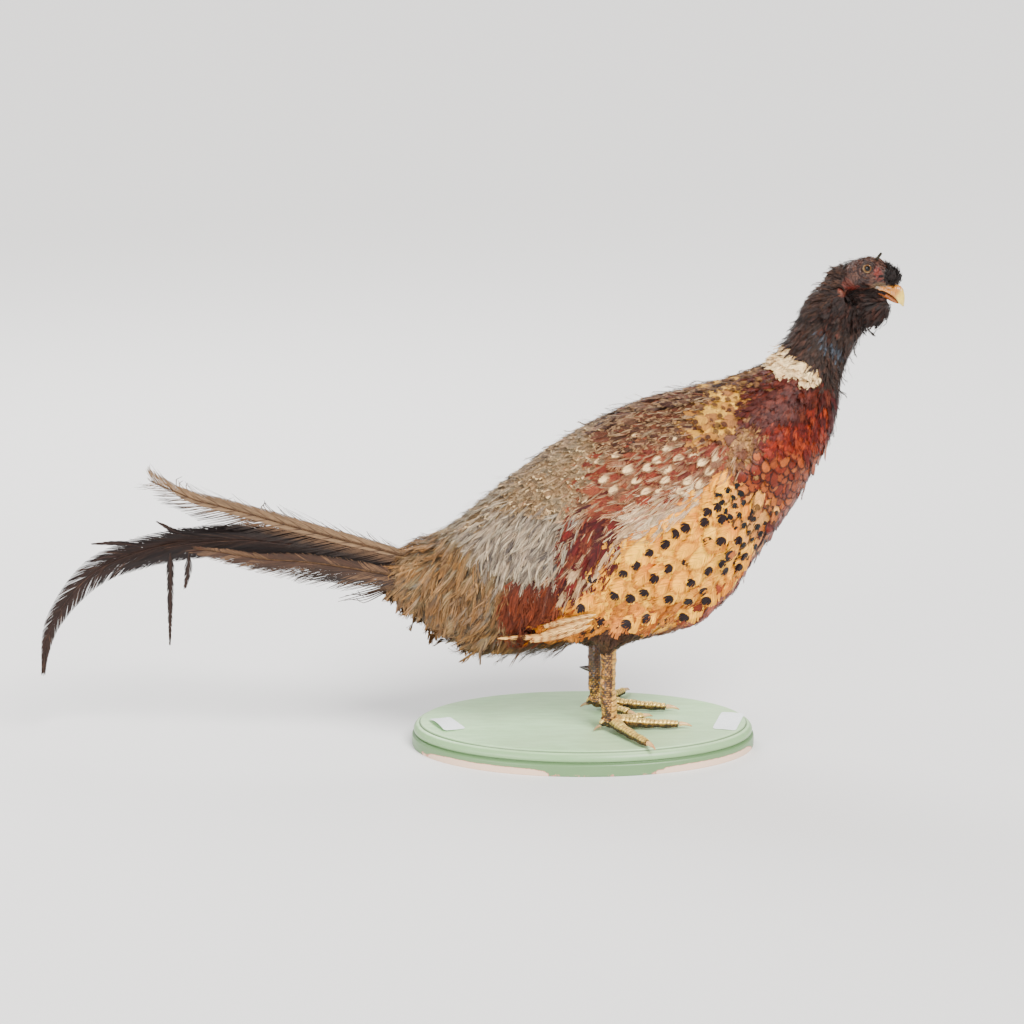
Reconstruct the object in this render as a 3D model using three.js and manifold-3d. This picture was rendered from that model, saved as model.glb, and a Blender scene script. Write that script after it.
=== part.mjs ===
// A mounted cock ring-necked pheasant, standing on an oval moulded wooden base.
// Millimetres. +X is the way the bird faces, +Y its left side, +Z up; the origin is the middle of the
// base's underside. Every solid gives the outline out to the tips of the feathers.
import * as THREE from "three";
import { mergeVertices } from "three/addons/utils/BufferGeometryUtils.js";
import Module from "manifold-3d";

const wasm = await Module();
wasm.setup();

// ---- Driving dimensions ----
const GAP = 0.3; // between solids that touch
const RIGHT = -1; // the bird's right side is towards -Y
const LEFT = 1;

// The base is an oval field with a bead and a lower step round it. The profile runs outwards from the
// field's rim: how far out, then how high.
const FIELD_LENGTH = 263;
const FIELD_WIDTH = 151;
const BASE_HEIGHT = 19.5;
const FIELD_RADIUS = 50; // of the round blank that the oval is stretched from
const MOULDING = [
  [0.4, 19.2], [0.9, 17.4], [1.9, 17.9], [4.1, 16.9], [5.6, 14.6], [5.9, 12.2],
  [5.3, 10.6], [6.3, 10], [7.1, 9.2], [7.3, 7.6], [7.3, 0.8], [6.7, 0],
];

// The body from the tail's root to the top of the neck, as sections: the top of each on the middle
// plane, its bottom (both x and z) and its half width.
const BODY = [
  { top: [-145.5, 165.8], bottom: [-170, 124], wide: 17 },
  { top: [-120.7, 177], bottom: [-130, 100], wide: 31 },
  { top: [-77.5, 211], bottom: [-83.4, 76], wide: 49 },
  { top: [-35.4, 246], bottom: [-30, 80], wide: 60 },
  { top: [8.8, 273], bottom: [24, 83], wide: 67 },
  { top: [48, 290], bottom: [72, 90.5], wide: 70 },
  { top: [80, 298.5], bottom: [110, 117], wide: 69 },
  { top: [106, 305], bottom: [140, 163], wide: 63 },
  { top: [128, 312.5], bottom: [172, 208], wide: 54 },
  { top: [143, 319], bottom: [194, 252], wide: 43 },
  { top: [152, 327], bottom: [201.5, 290], wide: 31 },
  { top: [163, 348], bottom: [206, 313], wide: 27 },
  { top: [176.8, 372], bottom: [215, 331], wide: 25 },
  { top: [192, 384], bottom: [222, 347], wide: 20 },
];
const NECK_STARTS = 10; // the section at the white collar
const EGG = 0.07; // sections are this share wider above the middle than below

// The head is turned to the right and tipped down, as a frame of forward, side and up.
const HEAD = { x: 216, y: -4, z: 384, turn: 28, dip: 12 };
const SKULL = [
  { at: -29, up: -7, half: 5, wide: 6 },
  { at: -21, up: -6.5, half: 10.5, wide: 10.5 },
  { at: -11, up: -2.5, half: 14, wide: 13 },
  { at: 0, up: 1.5, half: 16.5, wide: 13.5 },
  { at: 9, up: 3.5, half: 15.5, wide: 12.5 },
  { at: 18, up: 3.5, half: 12.5, wide: 10 },
  { at: 25, up: 5.5, half: 7.5, wide: 7.5 },
  { at: 30.5, up: 6, half: 2.5, wide: 3 },
];
const THROAT = { at: 13, up: -20, length: 18, wide: 14, high: 18 };
const EYE = { at: 5.2, up: 10.6, out: 8.4, radius: 4.8 };
const BILL = { root: 18, length: 20, rise: -7.2, high: 10.3, wide: 5.6, hook: 6, lower: 0.78 };

// The folded wing lies on the body's side as a shell; its outline is a closed curve of x and z.
const WING_OUTLINE = [
  [124, 236], [113, 256], [86, 275], [44, 268], [4, 240], [-24, 198], [-42, 150],
  [-52, 112], [-26, 110], [0, 128], [14, 150], [38, 178], [72, 208], [106, 226],
];
const WING_PROUD = 2.5;
const WING_DEPTH = 5;
const WING_FROM_MIDDLE = 16;
const PRIMARIES = { from: [24, -60, 138], to: [-56, -44, 100], half: 8, thick: 2.4 };

// Legs. Each foot stands on the base at its own place, and each toe has a heading and a length.
const LEGS = {
  right: {
    side: RIGHT, x: 21, y: -25, hip: 36, knee: 32,
    toes: { outer: [-58, 53], middle: [2, 55], inner: [38, 34], hind: [203, 8] },
  },
  left: {
    side: LEFT, x: 12.5, y: 27, hip: 22, knee: 18,
    toes: { outer: [58, 42], middle: [-6, 56], inner: [-40, 32], hind: [170, 8] },
  },
};
const TARSUS_RADIUS = 5.2;
const ANKLE_HEIGHT = 8.5; // of the toes' root above the base
const TROUSER_ENDS = 76;
const TOE_RADIUS = 4.3;
const CLAW_LENGTH = 12.5;
const SPUR = { height: 54, length: 8, radius: 3.6 };

// Tail feathers: the shaft's line in x and z, the vane's half width at each of its points, how far from
// the middle it lies and how far its lower edge leans out, in degrees.
const TAIL = {
  upper: {
    line: [
      [-128, 154], [-161, 164], [-195, 173], [-224, 181], [-246, 187.5], [-264, 193],
      [-290, 200], [-309, 205], [-325, 212], [-345, 221],
    ],
    half: [5, 6, 6.5, 6.5, 6, 6.5, 6.5, 5.5, 6, 2.5], out: -5, lean: 18,
  },
  bent: {
    line: [
      [-128, 148], [-200, 162], [-245, 168], [-275, 170.5], [-322, 167], [-355, 160], [-386, 148],
      [-408, 129], [-427, 102], [-434, 79], [-437, 55],
    ],
    half: [8, 10, 12, 13, 13, 12, 11, 9.5, 6.5, 3.2, 1.2], out: 0, lean: 0,
  },
  lower: {
    line: [[-128, 136], [-160, 141], [-195, 147], [-225, 151], [-255, 153], [-285, 158], [-312, 162]],
    half: [12, 14, 14, 12, 8, 6, 2.5], out: -11, lean: 24,
  },
};
const FAR_SIDE_SHARE = 0.93; // the hidden fellow of each side feather is this much shorter
const VANE_THICK = 1.5; // half thickness
const BROKEN = {
  long: { top: [-331, 158], bottom: [-333.5, 83], half: 2 },
  short: { top: [-316, 158], bottom: [-318, 131], half: 1.6 },
};

// Two slips of paper on the base.
const SLIP_THICK = 0.6;
const STICKER = { length: 43, width: 19, x: 118, y: -4.3, turn: 76 };
const CURLED_SLIP = { length: 31, width: 19, x: -110, y: -12.6, turn: -64.7, lift: 3.2 };

// ---- Helpers ----
const rad = THREE.MathUtils.degToRad;
const point = (x, y, z) => new THREE.Vector3(x, y, z);

function solidOf(geometry) {
  geometry.deleteAttribute("normal");
  geometry.deleteAttribute("uv");
  const merged = mergeVertices(geometry, 1e-3);
  const made = new wasm.Manifold(
    new wasm.Mesh({
      numProp: 3,
      vertProperties: new Float32Array(merged.attributes.position.array),
      triVerts: new Uint32Array(merged.index.array),
    }),
  );
  if (made.volume() < 0) throw new Error("a shape is inside out");
  return made;
}

function geometryOf(solid) {
  const mesh = solid.getMesh();
  const geometry = new THREE.BufferGeometry();
  geometry.setAttribute("position", new THREE.BufferAttribute(mesh.vertProperties, 3));
  geometry.setIndex(new THREE.BufferAttribute(mesh.triVerts, 1));
  return geometry;
}

// A round bar of unit radius, reshaped: place(share of the length, x, y) says where its points go.
function reshapedBar(sides, steps, place) {
  const bar = new THREE.CylinderGeometry(1, 1, 1, sides, steps);
  const at = bar.attributes.position;
  for (let i = 0; i < at.count; i++) {
    const moved = place(at.getY(i) + 0.5, at.getX(i), at.getZ(i));
    at.setXYZ(i, moved.x, moved.y, moved.z);
  }
  return solidOf(bar);
}

// A smooth row of values through evenly spaced knots.
function smoothly(knots) {
  const curve = new THREE.CatmullRomCurve3(knots.map((k) => point(...k)));
  return (share) => curve.getPoint(THREE.MathUtils.clamp(share, 0, 1));
}

// A bar along a line of points, with a half width and a half thickness, and a width direction.
function bladeAlong(line, half, across, thick, sides, steps, grow = 0) {
  const path = smoothly(line);
  const size = smoothly(half.map((h) => [h, 0, 0]));
  return reshapedBar(sides, steps, (share, x, y) => {
    const ends = 1 - Math.pow(Math.abs(2 * share - 1), 12) * 0.6;
    const flow = path(Math.min(share + 0.02, 1)).sub(path(Math.max(share - 0.02, 0))).normalize();
    const width = across.clone().addScaledVector(flow, -across.dot(flow)).normalize();
    const depth = new THREE.Vector3().crossVectors(width, flow);
    const overrun = (share - 0.5) * 2 * grow;
    return path(share)
      .addScaledVector(flow, overrun)
      .addScaledVector(width, x * (size(share).x * ends + grow))
      .addScaledVector(depth, y * (thick * ends + grow));
  });
}

// A tapered round bar along a line.
const taper = (line, radii, sides, steps, grow = 0) => {
  const path = smoothly(line);
  const size = smoothly(radii.map((r) => [r, 0, 0]));
  return reshapedBar(sides, steps, (share, x, y) => {
    const flow = path(Math.min(share + 0.02, 1)).sub(path(Math.max(share - 0.02, 0))).normalize();
    const side = new THREE.Vector3().crossVectors(flow, point(0.3, 0.9, 0.2)).normalize();
    const rise = new THREE.Vector3().crossVectors(side, flow);
    const radius = size(share).x + grow;
    return path(share)
      .addScaledVector(flow, (share - 0.5) * 2 * grow)
      .addScaledVector(rise, x * radius)
      .addScaledVector(side, -y * radius);
  });
};

const unionOf = (solids) => solids.reduce((all, one) => all.add(one));

// ---- Body and neck ----
const backLine = smoothly(BODY.map(({ top: [x, z] }) => [x, 0, z]));
const bellyLine = smoothly(BODY.map(({ bottom: [x, z] }) => [x, 0, z]));
const girth = smoothly(BODY.map(({ wide }, i) => [i, 0, wide]));

function bodyPoint(share, x, y, grow) {
  const back = backLine(share);
  const belly = bellyLine(share);
  const up = back.clone().sub(belly).normalize();
  const wide = (girth(share).z + grow) * (1 + EGG * x);
  return belly
    .clone()
    .lerp(back, (x + 1) / 2)
    .addScaledVector(up, x * grow)
    .add(point(0, y * wide, 0));
}

function bodyLength(from, to, sides, steps, grow = 0) {
  return reshapedBar(sides, steps, (share, x, y) => {
    const end = from === 0 ? Math.min(1, 0.72 + share * 9) : 1;
    return bodyPoint(from + (to - from) * share, x * end, y * end, grow);
  });
}

const lastSection = BODY.length - 1;
const collar = NECK_STARTS / lastSection;
const alongCollar = bellyLine(collar + 0.01).distanceTo(bellyLine(collar)) / 0.01;
const wholeTrunk = bodyLength(0, collar, 20, 16);
const grownTrunk = bodyLength(0, collar, 20, 16, GAP);

// ---- Wings ----
function wingPrism(side, grow) {
  const curve = new THREE.CatmullRomCurve3(WING_OUTLINE.map(([x, z]) => point(x, z, 0)), true);
  const ring = curve.getPoints(30).slice(1);
  const outline = ring.map((at, i) => {
    const ahead = ring[(i + 1) % ring.length];
    const behind = ring.at(i - 1);
    const out = new THREE.Vector2(ahead.y - behind.y, behind.x - ahead.x).setLength(grow);
    return new THREE.Vector2(at.x, at.y).add(out);
  });
  const slab = new THREE.ExtrudeGeometry(new THREE.Shape(outline), { depth: 90, bevelEnabled: false });
  slab.rotateX(Math.PI / 2);
  slab.translate(0, side === RIGHT ? grow - WING_FROM_MIDDLE : WING_FROM_MIDDLE + 90 - grow, 0);
  return solidOf(slab);
}

const across = (p, side) => point(p[0], p[1] * -side, p[2]);

function primaries(side, grow) {
  const from = across(PRIMARIES.from, side);
  const to = across(PRIMARIES.to, side);
  const middle = from.clone().lerp(to, 0.55).add(point(0, side * 2, 1));
  const { half, thick } = PRIMARIES;
  const line = [from, middle, to].map((p) => p.toArray());
  return bladeAlong(line, [half, half * 0.9, half * 0.3], point(-0.2, side * 0.45, 1), thick, 10, 6, grow);
}

function wing(side) {
  const shell = bodyLength(0, collar, 20, 16, WING_PROUD)
    .intersect(wingPrism(side, 0))
    .subtract(bodyLength(0, collar, 20, 16, -WING_DEPTH));
  return shell.add(primaries(side, 0).subtract(grownTrunk));
}

function wingRecess(side) {
  return wingPrism(side, GAP).subtract(bodyLength(0, collar, 20, 16, -WING_DEPTH - GAP));
}

// ---- Head ----
const headTurn = new THREE.Matrix4()
  .makeTranslation(HEAD.x, HEAD.y, HEAD.z)
  .multiply(new THREE.Matrix4().makeRotationZ(-rad(HEAD.turn)))
  .multiply(new THREE.Matrix4().makeRotationY(rad(HEAD.dip)));
// Forward, side (+ is the bird's left) and up in the head's own frame.
const inHead = (at, out, up) => point(at, out, up).applyMatrix4(headTurn);

function skull(grow = 0) {
  const middle = smoothly(SKULL.map((s) => [s.at, s.up, 0]));
  const size = smoothly(SKULL.map((s) => [s.half, s.wide, 0]));
  return reshapedBar(16, 11, (share, x, y) => {
    const mid = middle(share);
    const s = size(share);
    return inHead(mid.x + (share - 0.5) * 2 * grow, y * (s.y + grow), mid.y + x * (s.x + grow));
  });
}

function throat(grow = 0) {
  const ball = new THREE.SphereGeometry(1, 14, 10);
  ball.scale(THROAT.length + grow, THROAT.wide + grow, THROAT.high + grow);
  ball.translate(THROAT.at, 0, THROAT.up);
  ball.applyMatrix4(headTurn);
  return solidOf(ball);
}

function eyeball(side, grow = 0) {
  const ball = new THREE.SphereGeometry(EYE.radius + grow, 12, 8);
  ball.translate(EYE.at, EYE.out * side, EYE.up);
  ball.applyMatrix4(headTurn);
  return solidOf(ball);
}

// The upper bill arches over the lower one and hooks down past its tip.
const billDrop = (share) => BILL.hook * Math.pow(share, 1.6);

function billUpper(grow = 0) {
  return reshapedBar(14, 8, (share, x, y) => {
    const fine = Math.sqrt(1 - Math.pow(Math.min(share, 0.985), 3.5));
    const high = BILL.high * fine + grow;
    const wide = BILL.wide * Math.pow(fine, 0.8) + grow;
    const lift = x > 0 ? x * high : x * (1.2 * fine + grow);
    return inHead(BILL.root + BILL.length * share, y * wide, BILL.rise - billDrop(share) + lift);
  });
}

function billLower(grow = 0) {
  return reshapedBar(14, 7, (share, x, y) => {
    const fine = Math.sqrt(1 - Math.pow(Math.min(share, 0.98), 2.6));
    const reach = share * BILL.lower;
    const roof = BILL.rise - 2.1 - billDrop(reach);
    const lift = x > 0 ? x * (0.5 * fine + grow) : x * (2.8 * fine + grow);
    return inHead(BILL.root + BILL.length * reach, y * (BILL.wide * 0.84 * fine + grow), roof + lift);
  });
}

const eyes = { right: eyeball(RIGHT), left: eyeball(LEFT) };
const headSolid = skull()
  .add(throat())
  .subtract(eyeball(RIGHT, GAP))
  .subtract(eyeball(LEFT, GAP));
const headGrown = skull(GAP).add(throat(GAP));
const neck = bodyLength(collar + (2 * GAP) / alongCollar, 1, 20, 6).subtract(headGrown);
const upperBill = billUpper().subtract(headGrown);
const lowerBill = billLower().subtract(headGrown).subtract(billUpper(GAP));

// ---- Legs ----
function legParts(name) {
  const leg = LEGS[name];
  const top = BASE_HEIGHT;
  const root = [leg.x, leg.y, top + ANKLE_HEIGHT];
  const rises = [
    [leg.x - 2, leg.y - leg.side * 1, top + 36],
    [leg.x - 1, leg.y, TROUSER_ENDS],
    [leg.x + 1, leg.y + leg.side, TROUSER_ENDS + 12],
  ];
  const trouser = (grow) =>
    taper(
      [
        [leg.hip + 6, leg.y + leg.side * 8, 128],
        [leg.knee, leg.y + leg.side * 4, 100],
        [leg.x + 3, leg.y + leg.side, 86],
        [leg.x - 1, leg.y, TROUSER_ENDS],
      ],
      [25, 16, 10, 6.4], 16, 7, grow,
    );
  const tarsus = taper(
    [root, ...rises],
    [TARSUS_RADIUS + 0.6, TARSUS_RADIUS - 0.4, TARSUS_RADIUS, TARSUS_RADIUS], 8, 5,
  );
  const toes = [];
  const claws = {};
  for (const [toe, [heading, length]] of Object.entries(leg.toes)) {
    const hind = toe === "hind";
    const turn = rad(heading);
    const ahead = (reach, height) =>
      [leg.x + Math.cos(turn) * reach, leg.y + Math.sin(turn) * reach, top + height];
    const thick = TOE_RADIUS * (hind ? 0.75 : 1);
    const line = hind
      ? [ahead(0, 13), ahead(length * 0.6, 9), ahead(length, 5)]
      : [ahead(0, ANKLE_HEIGHT), ahead(length * 0.3, 6.2), ahead(length * 0.65, 4.8), ahead(length, 4.2)];
    const sizes = hind ? [thick, thick, thick * 0.8] : [thick + 0.9, thick, thick * 0.86, thick * 0.74];
    const digit = (grow) => taper(line, sizes, 8, hind ? 3 : 5, grow);
    toes.push(digit(0));
    const clawLength = CLAW_LENGTH * (hind ? 0.6 : 1);
    const low = hind ? 1.2 : 2.2;
    const nail = length - 1;
    claws[toe] = taper(
      [
        ahead(nail, hind ? 5 : 4.2),
        ahead(nail + clawLength * 0.5, hind ? 4.2 : 4.6),
        ahead(nail + clawLength, low),
      ],
      [thick * 0.56, thick * 0.42, 0.45], 6, 3,
    ).subtract(digit(GAP));
  }
  const heel = new THREE.SphereGeometry(TARSUS_RADIUS + 1.6, 10, 6);
  heel.scale(1, 1, 0.95);
  heel.translate(...root);
  const scaly = unionOf([tarsus, solidOf(heel), ...toes]).subtract(trouser(GAP));
  const spurTurn = rad(180 + leg.side * -12);
  const spurRoot = [leg.x - 2, leg.y, SPUR.height];
  const spurTip = [
    leg.x - 2 + Math.cos(spurTurn) * (TARSUS_RADIUS + SPUR.length),
    leg.y + Math.sin(spurTurn) * (TARSUS_RADIUS + SPUR.length),
    SPUR.height + 2,
  ];
  const midSpur = spurRoot.map((v, i) => (v + spurTip[i]) / 2);
  const tarsusGrown = taper(
    [root, ...rises],
    [TARSUS_RADIUS + 0.6, TARSUS_RADIUS - 0.4, TARSUS_RADIUS, TARSUS_RADIUS], 8, 5, GAP,
  );
  const spur = taper([spurRoot, midSpur, spurTip], [SPUR.radius, SPUR.radius * 0.7, 0.4], 8, 3)
    .subtract(tarsusGrown);
  const cut = grownTrunk.add(primaries(leg.side, GAP));
  return { trouser: trouser(0).subtract(cut), scaly, claws, spur };
}

// ---- Tail ----
function vane(feather, side, share, grow = 0) {
  const out = feather.out * -side;
  const [rootX] = feather.line[0];
  const line = feather.line.map(([x, z]) => [
    rootX + (x - rootX) * share,
    out * Math.min(1, 0.35 + (rootX - x) / 60),
    z,
  ]);
  const lean = rad(feather.lean) * side;
  const width = point(0, -Math.sin(lean), Math.cos(lean));
  return bladeAlong(line, feather.half, width, VANE_THICK, 8, 14, grow);
}

const pair = (feather, grow = 0) =>
  vane(feather, RIGHT, 1, grow).add(vane(feather, LEFT, FAR_SIDE_SHARE, grow));
const tailRoot = (grow) =>
  taper([[-150, 0, 145], [-175, 0, 150], [-200, 0, 157]], [17 + grow, 14 + grow, 5 + grow], 12, 4, grow);
const bentGrown = vane(TAIL.bent, RIGHT, 1, GAP);
const tail = {
  bent: vane(TAIL.bent, RIGHT, 1).add(tailRoot(0)).subtract(grownTrunk),
  upper: pair(TAIL.upper).subtract(tailRoot(GAP)).subtract(bentGrown).subtract(grownTrunk),
  lower: pair(TAIL.lower).subtract(tailRoot(GAP)).subtract(bentGrown).subtract(grownTrunk),
};

function brokenVane({ top, bottom, half }) {
  const line = [top, [(top[0] + bottom[0]) / 2 + 1, (top[1] + bottom[1]) / 2], bottom]
    .map(([x, z]) => [x, 0, z]);
  const cut = pair(TAIL.lower, GAP).add(bentGrown);
  const left = bladeAlong(line, [half, half * 0.9, half * 0.3], point(1, 0, 0), 1, 8, 6).subtract(cut);
  return left.decompose().sort((a, b) => b.volume() - a.volume())[0];
}

const largest = (solid) => solid.decompose().sort((a, b) => b.volume() - a.volume())[0];

// ---- Base and paper slips ----
function baseBoard() {
  const profile = [
    new THREE.Vector2(0, 0),
    ...[...MOULDING].reverse().map(([out, z]) => new THREE.Vector2(FIELD_RADIUS + out, z)),
    new THREE.Vector2(FIELD_RADIUS - 0.5, BASE_HEIGHT),
    new THREE.Vector2(0, BASE_HEIGHT),
  ];
  const blank = new THREE.LatheGeometry(profile, 40);
  blank.rotateX(Math.PI / 2);
  const at = blank.attributes.position;
  for (let i = 0; i < at.count; i++) {
    const radius = Math.hypot(at.getX(i), at.getY(i));
    const turn = Math.atan2(at.getY(i), at.getX(i));
    const inside = Math.min(radius, FIELD_RADIUS) / FIELD_RADIUS;
    const normal = new THREE.Vector2(Math.cos(turn) / FIELD_LENGTH, Math.sin(turn) / FIELD_WIDTH);
    const out = normal.setLength(Math.max(radius - FIELD_RADIUS, 0));
    at.setX(i, (Math.cos(turn) * inside * FIELD_LENGTH) / 2 + out.x);
    at.setY(i, (Math.sin(turn) * inside * FIELD_WIDTH) / 2 + out.y);
  }
  return solidOf(blank);
}

function slip({ length, width, lift = 0, x, y, turn }) {
  const sheet = new THREE.BoxGeometry(length, width, SLIP_THICK, 10, 2, 1);
  const at = sheet.attributes.position;
  for (let i = 0; i < at.count; i++) {
    const rise = Math.pow(Math.abs(at.getY(i) / width - 0.5), 2) * lift;
    at.setZ(i, at.getZ(i) + rise * Math.cos((at.getX(i) / length) * 2.4));
  }
  sheet.rotateZ(rad(turn));
  sheet.translate(x, y, BASE_HEIGHT + GAP + SLIP_THICK / 2);
  return solidOf(sheet);
}

// ---- The model ----
const model = new THREE.Group();

function add(name, solid, color, roughness, metalness = 0) {
  const material = new THREE.MeshStandardMaterial({ color, roughness, metalness });
  const mesh = new THREE.Mesh(geometryOf(solid), material);
  mesh.name = name;
  model.add(mesh);
}

const trunk = wholeTrunk.subtract(wingRecess(RIGHT)).subtract(wingRecess(LEFT));
add("trunk", largest(trunk), 0xa8763f, 0.8);
add("neck", largest(neck), 0x2a211d, 0.7);
add("head", largest(headSolid), 0x4a2c24, 0.75);
add("bill_upper", largest(upperBill), 0xc9a052, 0.4);
add("bill_lower", largest(lowerBill), 0xc08a42, 0.4);
for (const [name, side] of [["right", RIGHT], ["left", LEFT]]) {
  add("eye_" + name, eyes[name], 0x201810, 0.05);
  add("wing_" + name, largest(wing(side)), 0x8a4a2c, 0.8);
  const { trouser, scaly, claws, spur } = legParts(name);
  add("thigh_" + name, largest(trouser), 0x3b2a20, 0.9);
  add("foot_" + name, largest(scaly), 0xa88746, 0.35, 0.6);
  add("spur_" + name, largest(spur), 0x3a2a1c, 0.4);
  for (const [toe, claw] of Object.entries(claws)) {
    add(`claw_${name}_${toe}`, claw, 0xd9b37c, 0.4);
  }
}
add("tail_upper", largest(tail.upper), 0x8a6a4a, 0.75);
add("tail_bent", largest(tail.bent), 0x35211a, 0.7);
add("tail_lower", largest(tail.lower), 0x7d5a44, 0.75);
add("tail_broken_long", brokenVane(BROKEN.long), 0x2e1e18, 0.8);
add("tail_broken_short", brokenVane(BROKEN.short), 0x2e1e18, 0.8);
add("base_board", baseBoard(), 0xa9bba0, 0.5);
add("slip_flat", slip(STICKER), 0xe8ecef, 0.6);
add("slip_curled", slip(CURLED_SLIP), 0xe8ecef, 0.6);

export default model;
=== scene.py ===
"""A mounted cock ring-necked pheasant on an oval painted base: the looks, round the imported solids.
Helpers and tables are in millimetres; meshes are in metres, in the frame's own axes."""

import math
from functools import partial

import bmesh
import bpy
import numpy as np
from mathutils import Matrix, Vector, noise
from mathutils.bvhtree import BVHTree


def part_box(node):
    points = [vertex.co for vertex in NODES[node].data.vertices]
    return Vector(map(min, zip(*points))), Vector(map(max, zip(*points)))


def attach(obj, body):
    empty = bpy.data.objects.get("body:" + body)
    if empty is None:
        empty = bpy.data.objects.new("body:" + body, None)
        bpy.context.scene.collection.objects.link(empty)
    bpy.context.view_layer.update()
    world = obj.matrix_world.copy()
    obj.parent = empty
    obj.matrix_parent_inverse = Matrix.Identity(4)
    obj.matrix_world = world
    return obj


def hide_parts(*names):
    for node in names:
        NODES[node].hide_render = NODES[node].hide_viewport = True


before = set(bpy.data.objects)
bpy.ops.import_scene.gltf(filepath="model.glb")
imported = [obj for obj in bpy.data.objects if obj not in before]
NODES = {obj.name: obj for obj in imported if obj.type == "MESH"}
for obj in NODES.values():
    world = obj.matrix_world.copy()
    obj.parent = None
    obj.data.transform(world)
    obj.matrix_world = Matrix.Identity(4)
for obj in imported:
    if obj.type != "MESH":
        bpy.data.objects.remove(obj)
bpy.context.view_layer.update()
chance = np.random.default_rng(31)
BASE_TOP = 19.5  # the board's upper face

# ------------------------------------------------------------------ the head's frame and the collar line
HEAD_AT = np.array([216.0, -4.0, 384.0])
TURN, DIP = math.radians(28), math.radians(12)
FORWARD = np.array([math.cos(TURN) * math.cos(DIP), -math.sin(TURN) * math.cos(DIP), -math.sin(DIP)])
LEFTWARD = np.array([math.sin(TURN), math.cos(TURN), 0.0])
UPWARD = np.cross(FORWARD, LEFTWARD)
COLLAR_AT = np.array([153.0, 325.0])
COLLAR_UP = np.array([0.53, 0.848])
COLLAR_ACROSS = np.array([0.848, -0.53])
EYE_AT = np.array([5.2, 10.6])


def in_head(points):
    """Forward, left and up from the middle of the skull."""
    away = points - HEAD_AT
    return np.stack([away @ FORWARD, away @ LEFTWARD, away @ UPWARD], -1)


def from_head(forward, left, up):
    return HEAD_AT + forward * FORWARD + left * LEFTWARD + up * UPWARD


def above_collar(points):
    """Distance from the collar line towards the head, and distance along the line from the nape."""
    away = points[..., [0, 2]] - COLLAR_AT
    return away @ COLLAR_UP, away @ COLLAR_ACROSS


def smooth_step(value, low, high):
    share = np.clip((value - low) / (high - low), 0, 1)
    return share * share * (3 - 2 * share)


def tone(red, green, blue):
    """A paint colour as its three display values, turned to light."""
    share = np.array([red, green, blue], float) / 255
    light = np.where(share <= 0.04045, share / 12.92, ((share + 0.055) / 1.055) ** 2.4)
    return np.maximum(light**1.4 * 0.95, 0.002)


# ------------------------------------------------------------------ meshes from arrays
def new_object(name, mesh, material, slot, replaces=()):
    piece = bpy.data.objects.new(name, mesh)
    bpy.context.scene.collection.objects.link(piece)
    piece.data.materials.append(material)
    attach(piece, "root")
    if replaces:
        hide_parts(*replaces)
    return piece


def add_tone(mesh, name, values):
    layer = mesh.attributes.new(name, "FLOAT_COLOR", "POINT")
    rgba = np.ones((len(values), 4), np.float32)
    rgba[:, : values.shape[1]] = values
    layer.data.foreach_set("color", rgba.ravel())


def mesh_from_arrays(name, points, triangles):
    mesh = bpy.data.meshes.new(name)
    mesh.vertices.add(len(points))
    mesh.vertices.foreach_set("co", (points * 0.001).astype(np.float32).ravel())
    mesh.loops.add(triangles.size)
    mesh.loops.foreach_set("vertex_index", triangles.astype(np.int32).ravel())
    mesh.polygons.add(len(triangles))
    mesh.polygons.foreach_set("loop_start", np.arange(0, triangles.size, 3, dtype=np.int32))
    mesh.polygons.foreach_set("use_smooth", np.ones(len(triangles), bool))
    mesh.update(calc_edges=True)
    return mesh


def add_uv(mesh, name, places):
    layer = mesh.uv_layers.new(name=name)
    corners = np.empty(len(mesh.loops), np.int32)
    mesh.loops.foreach_get("vertex_index", corners)
    layer.data.foreach_set("uv", places[corners].astype(np.float32).ravel())


def points_of(mesh):
    points = np.empty(len(mesh.vertices) * 3, np.float32)
    mesh.vertices.foreach_get("co", points)
    return points.reshape(-1, 3).astype(float) * 1000


def put_points(mesh, points):
    mesh.vertices.foreach_set("co", (points * 0.001).astype(np.float32).ravel())
    mesh.update()


def normals_of(mesh):
    normals = np.empty(len(mesh.vertices) * 3, np.float32)
    mesh.vertex_normals.foreach_get("vector", normals)
    return normals.reshape(-1, 3).astype(float)


def mesh_from_shape(name, shape, smooth=True):
    mesh = bpy.data.meshes.new(name)
    shape.to_mesh(mesh)
    shape.free()
    if smooth:
        mesh.shade_smooth()
    return mesh


def noise_at(points, scale=1.0):
    return np.array([noise.noise(Vector(p) * scale) for p in points])


def relax(mesh, values, times):
    """Averages each point's values with its neighbours'."""
    ends = np.empty(len(mesh.edges) * 2, np.int32)
    mesh.edges.foreach_get("vertices", ends)
    a, b = ends.reshape(-1, 2).T
    count = np.bincount(a, minlength=len(values)) + np.bincount(b, minlength=len(values))
    for _ in range(times):
        total = np.zeros_like(values)
        for column in range(values.shape[1]):
            total[:, column] = np.bincount(a, values[b, column], len(values))
            total[:, column] += np.bincount(b, values[a, column], len(values))
        values = values + 0.5 * (total / np.maximum(count, 1)[:, None] - values)
    return values


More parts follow.
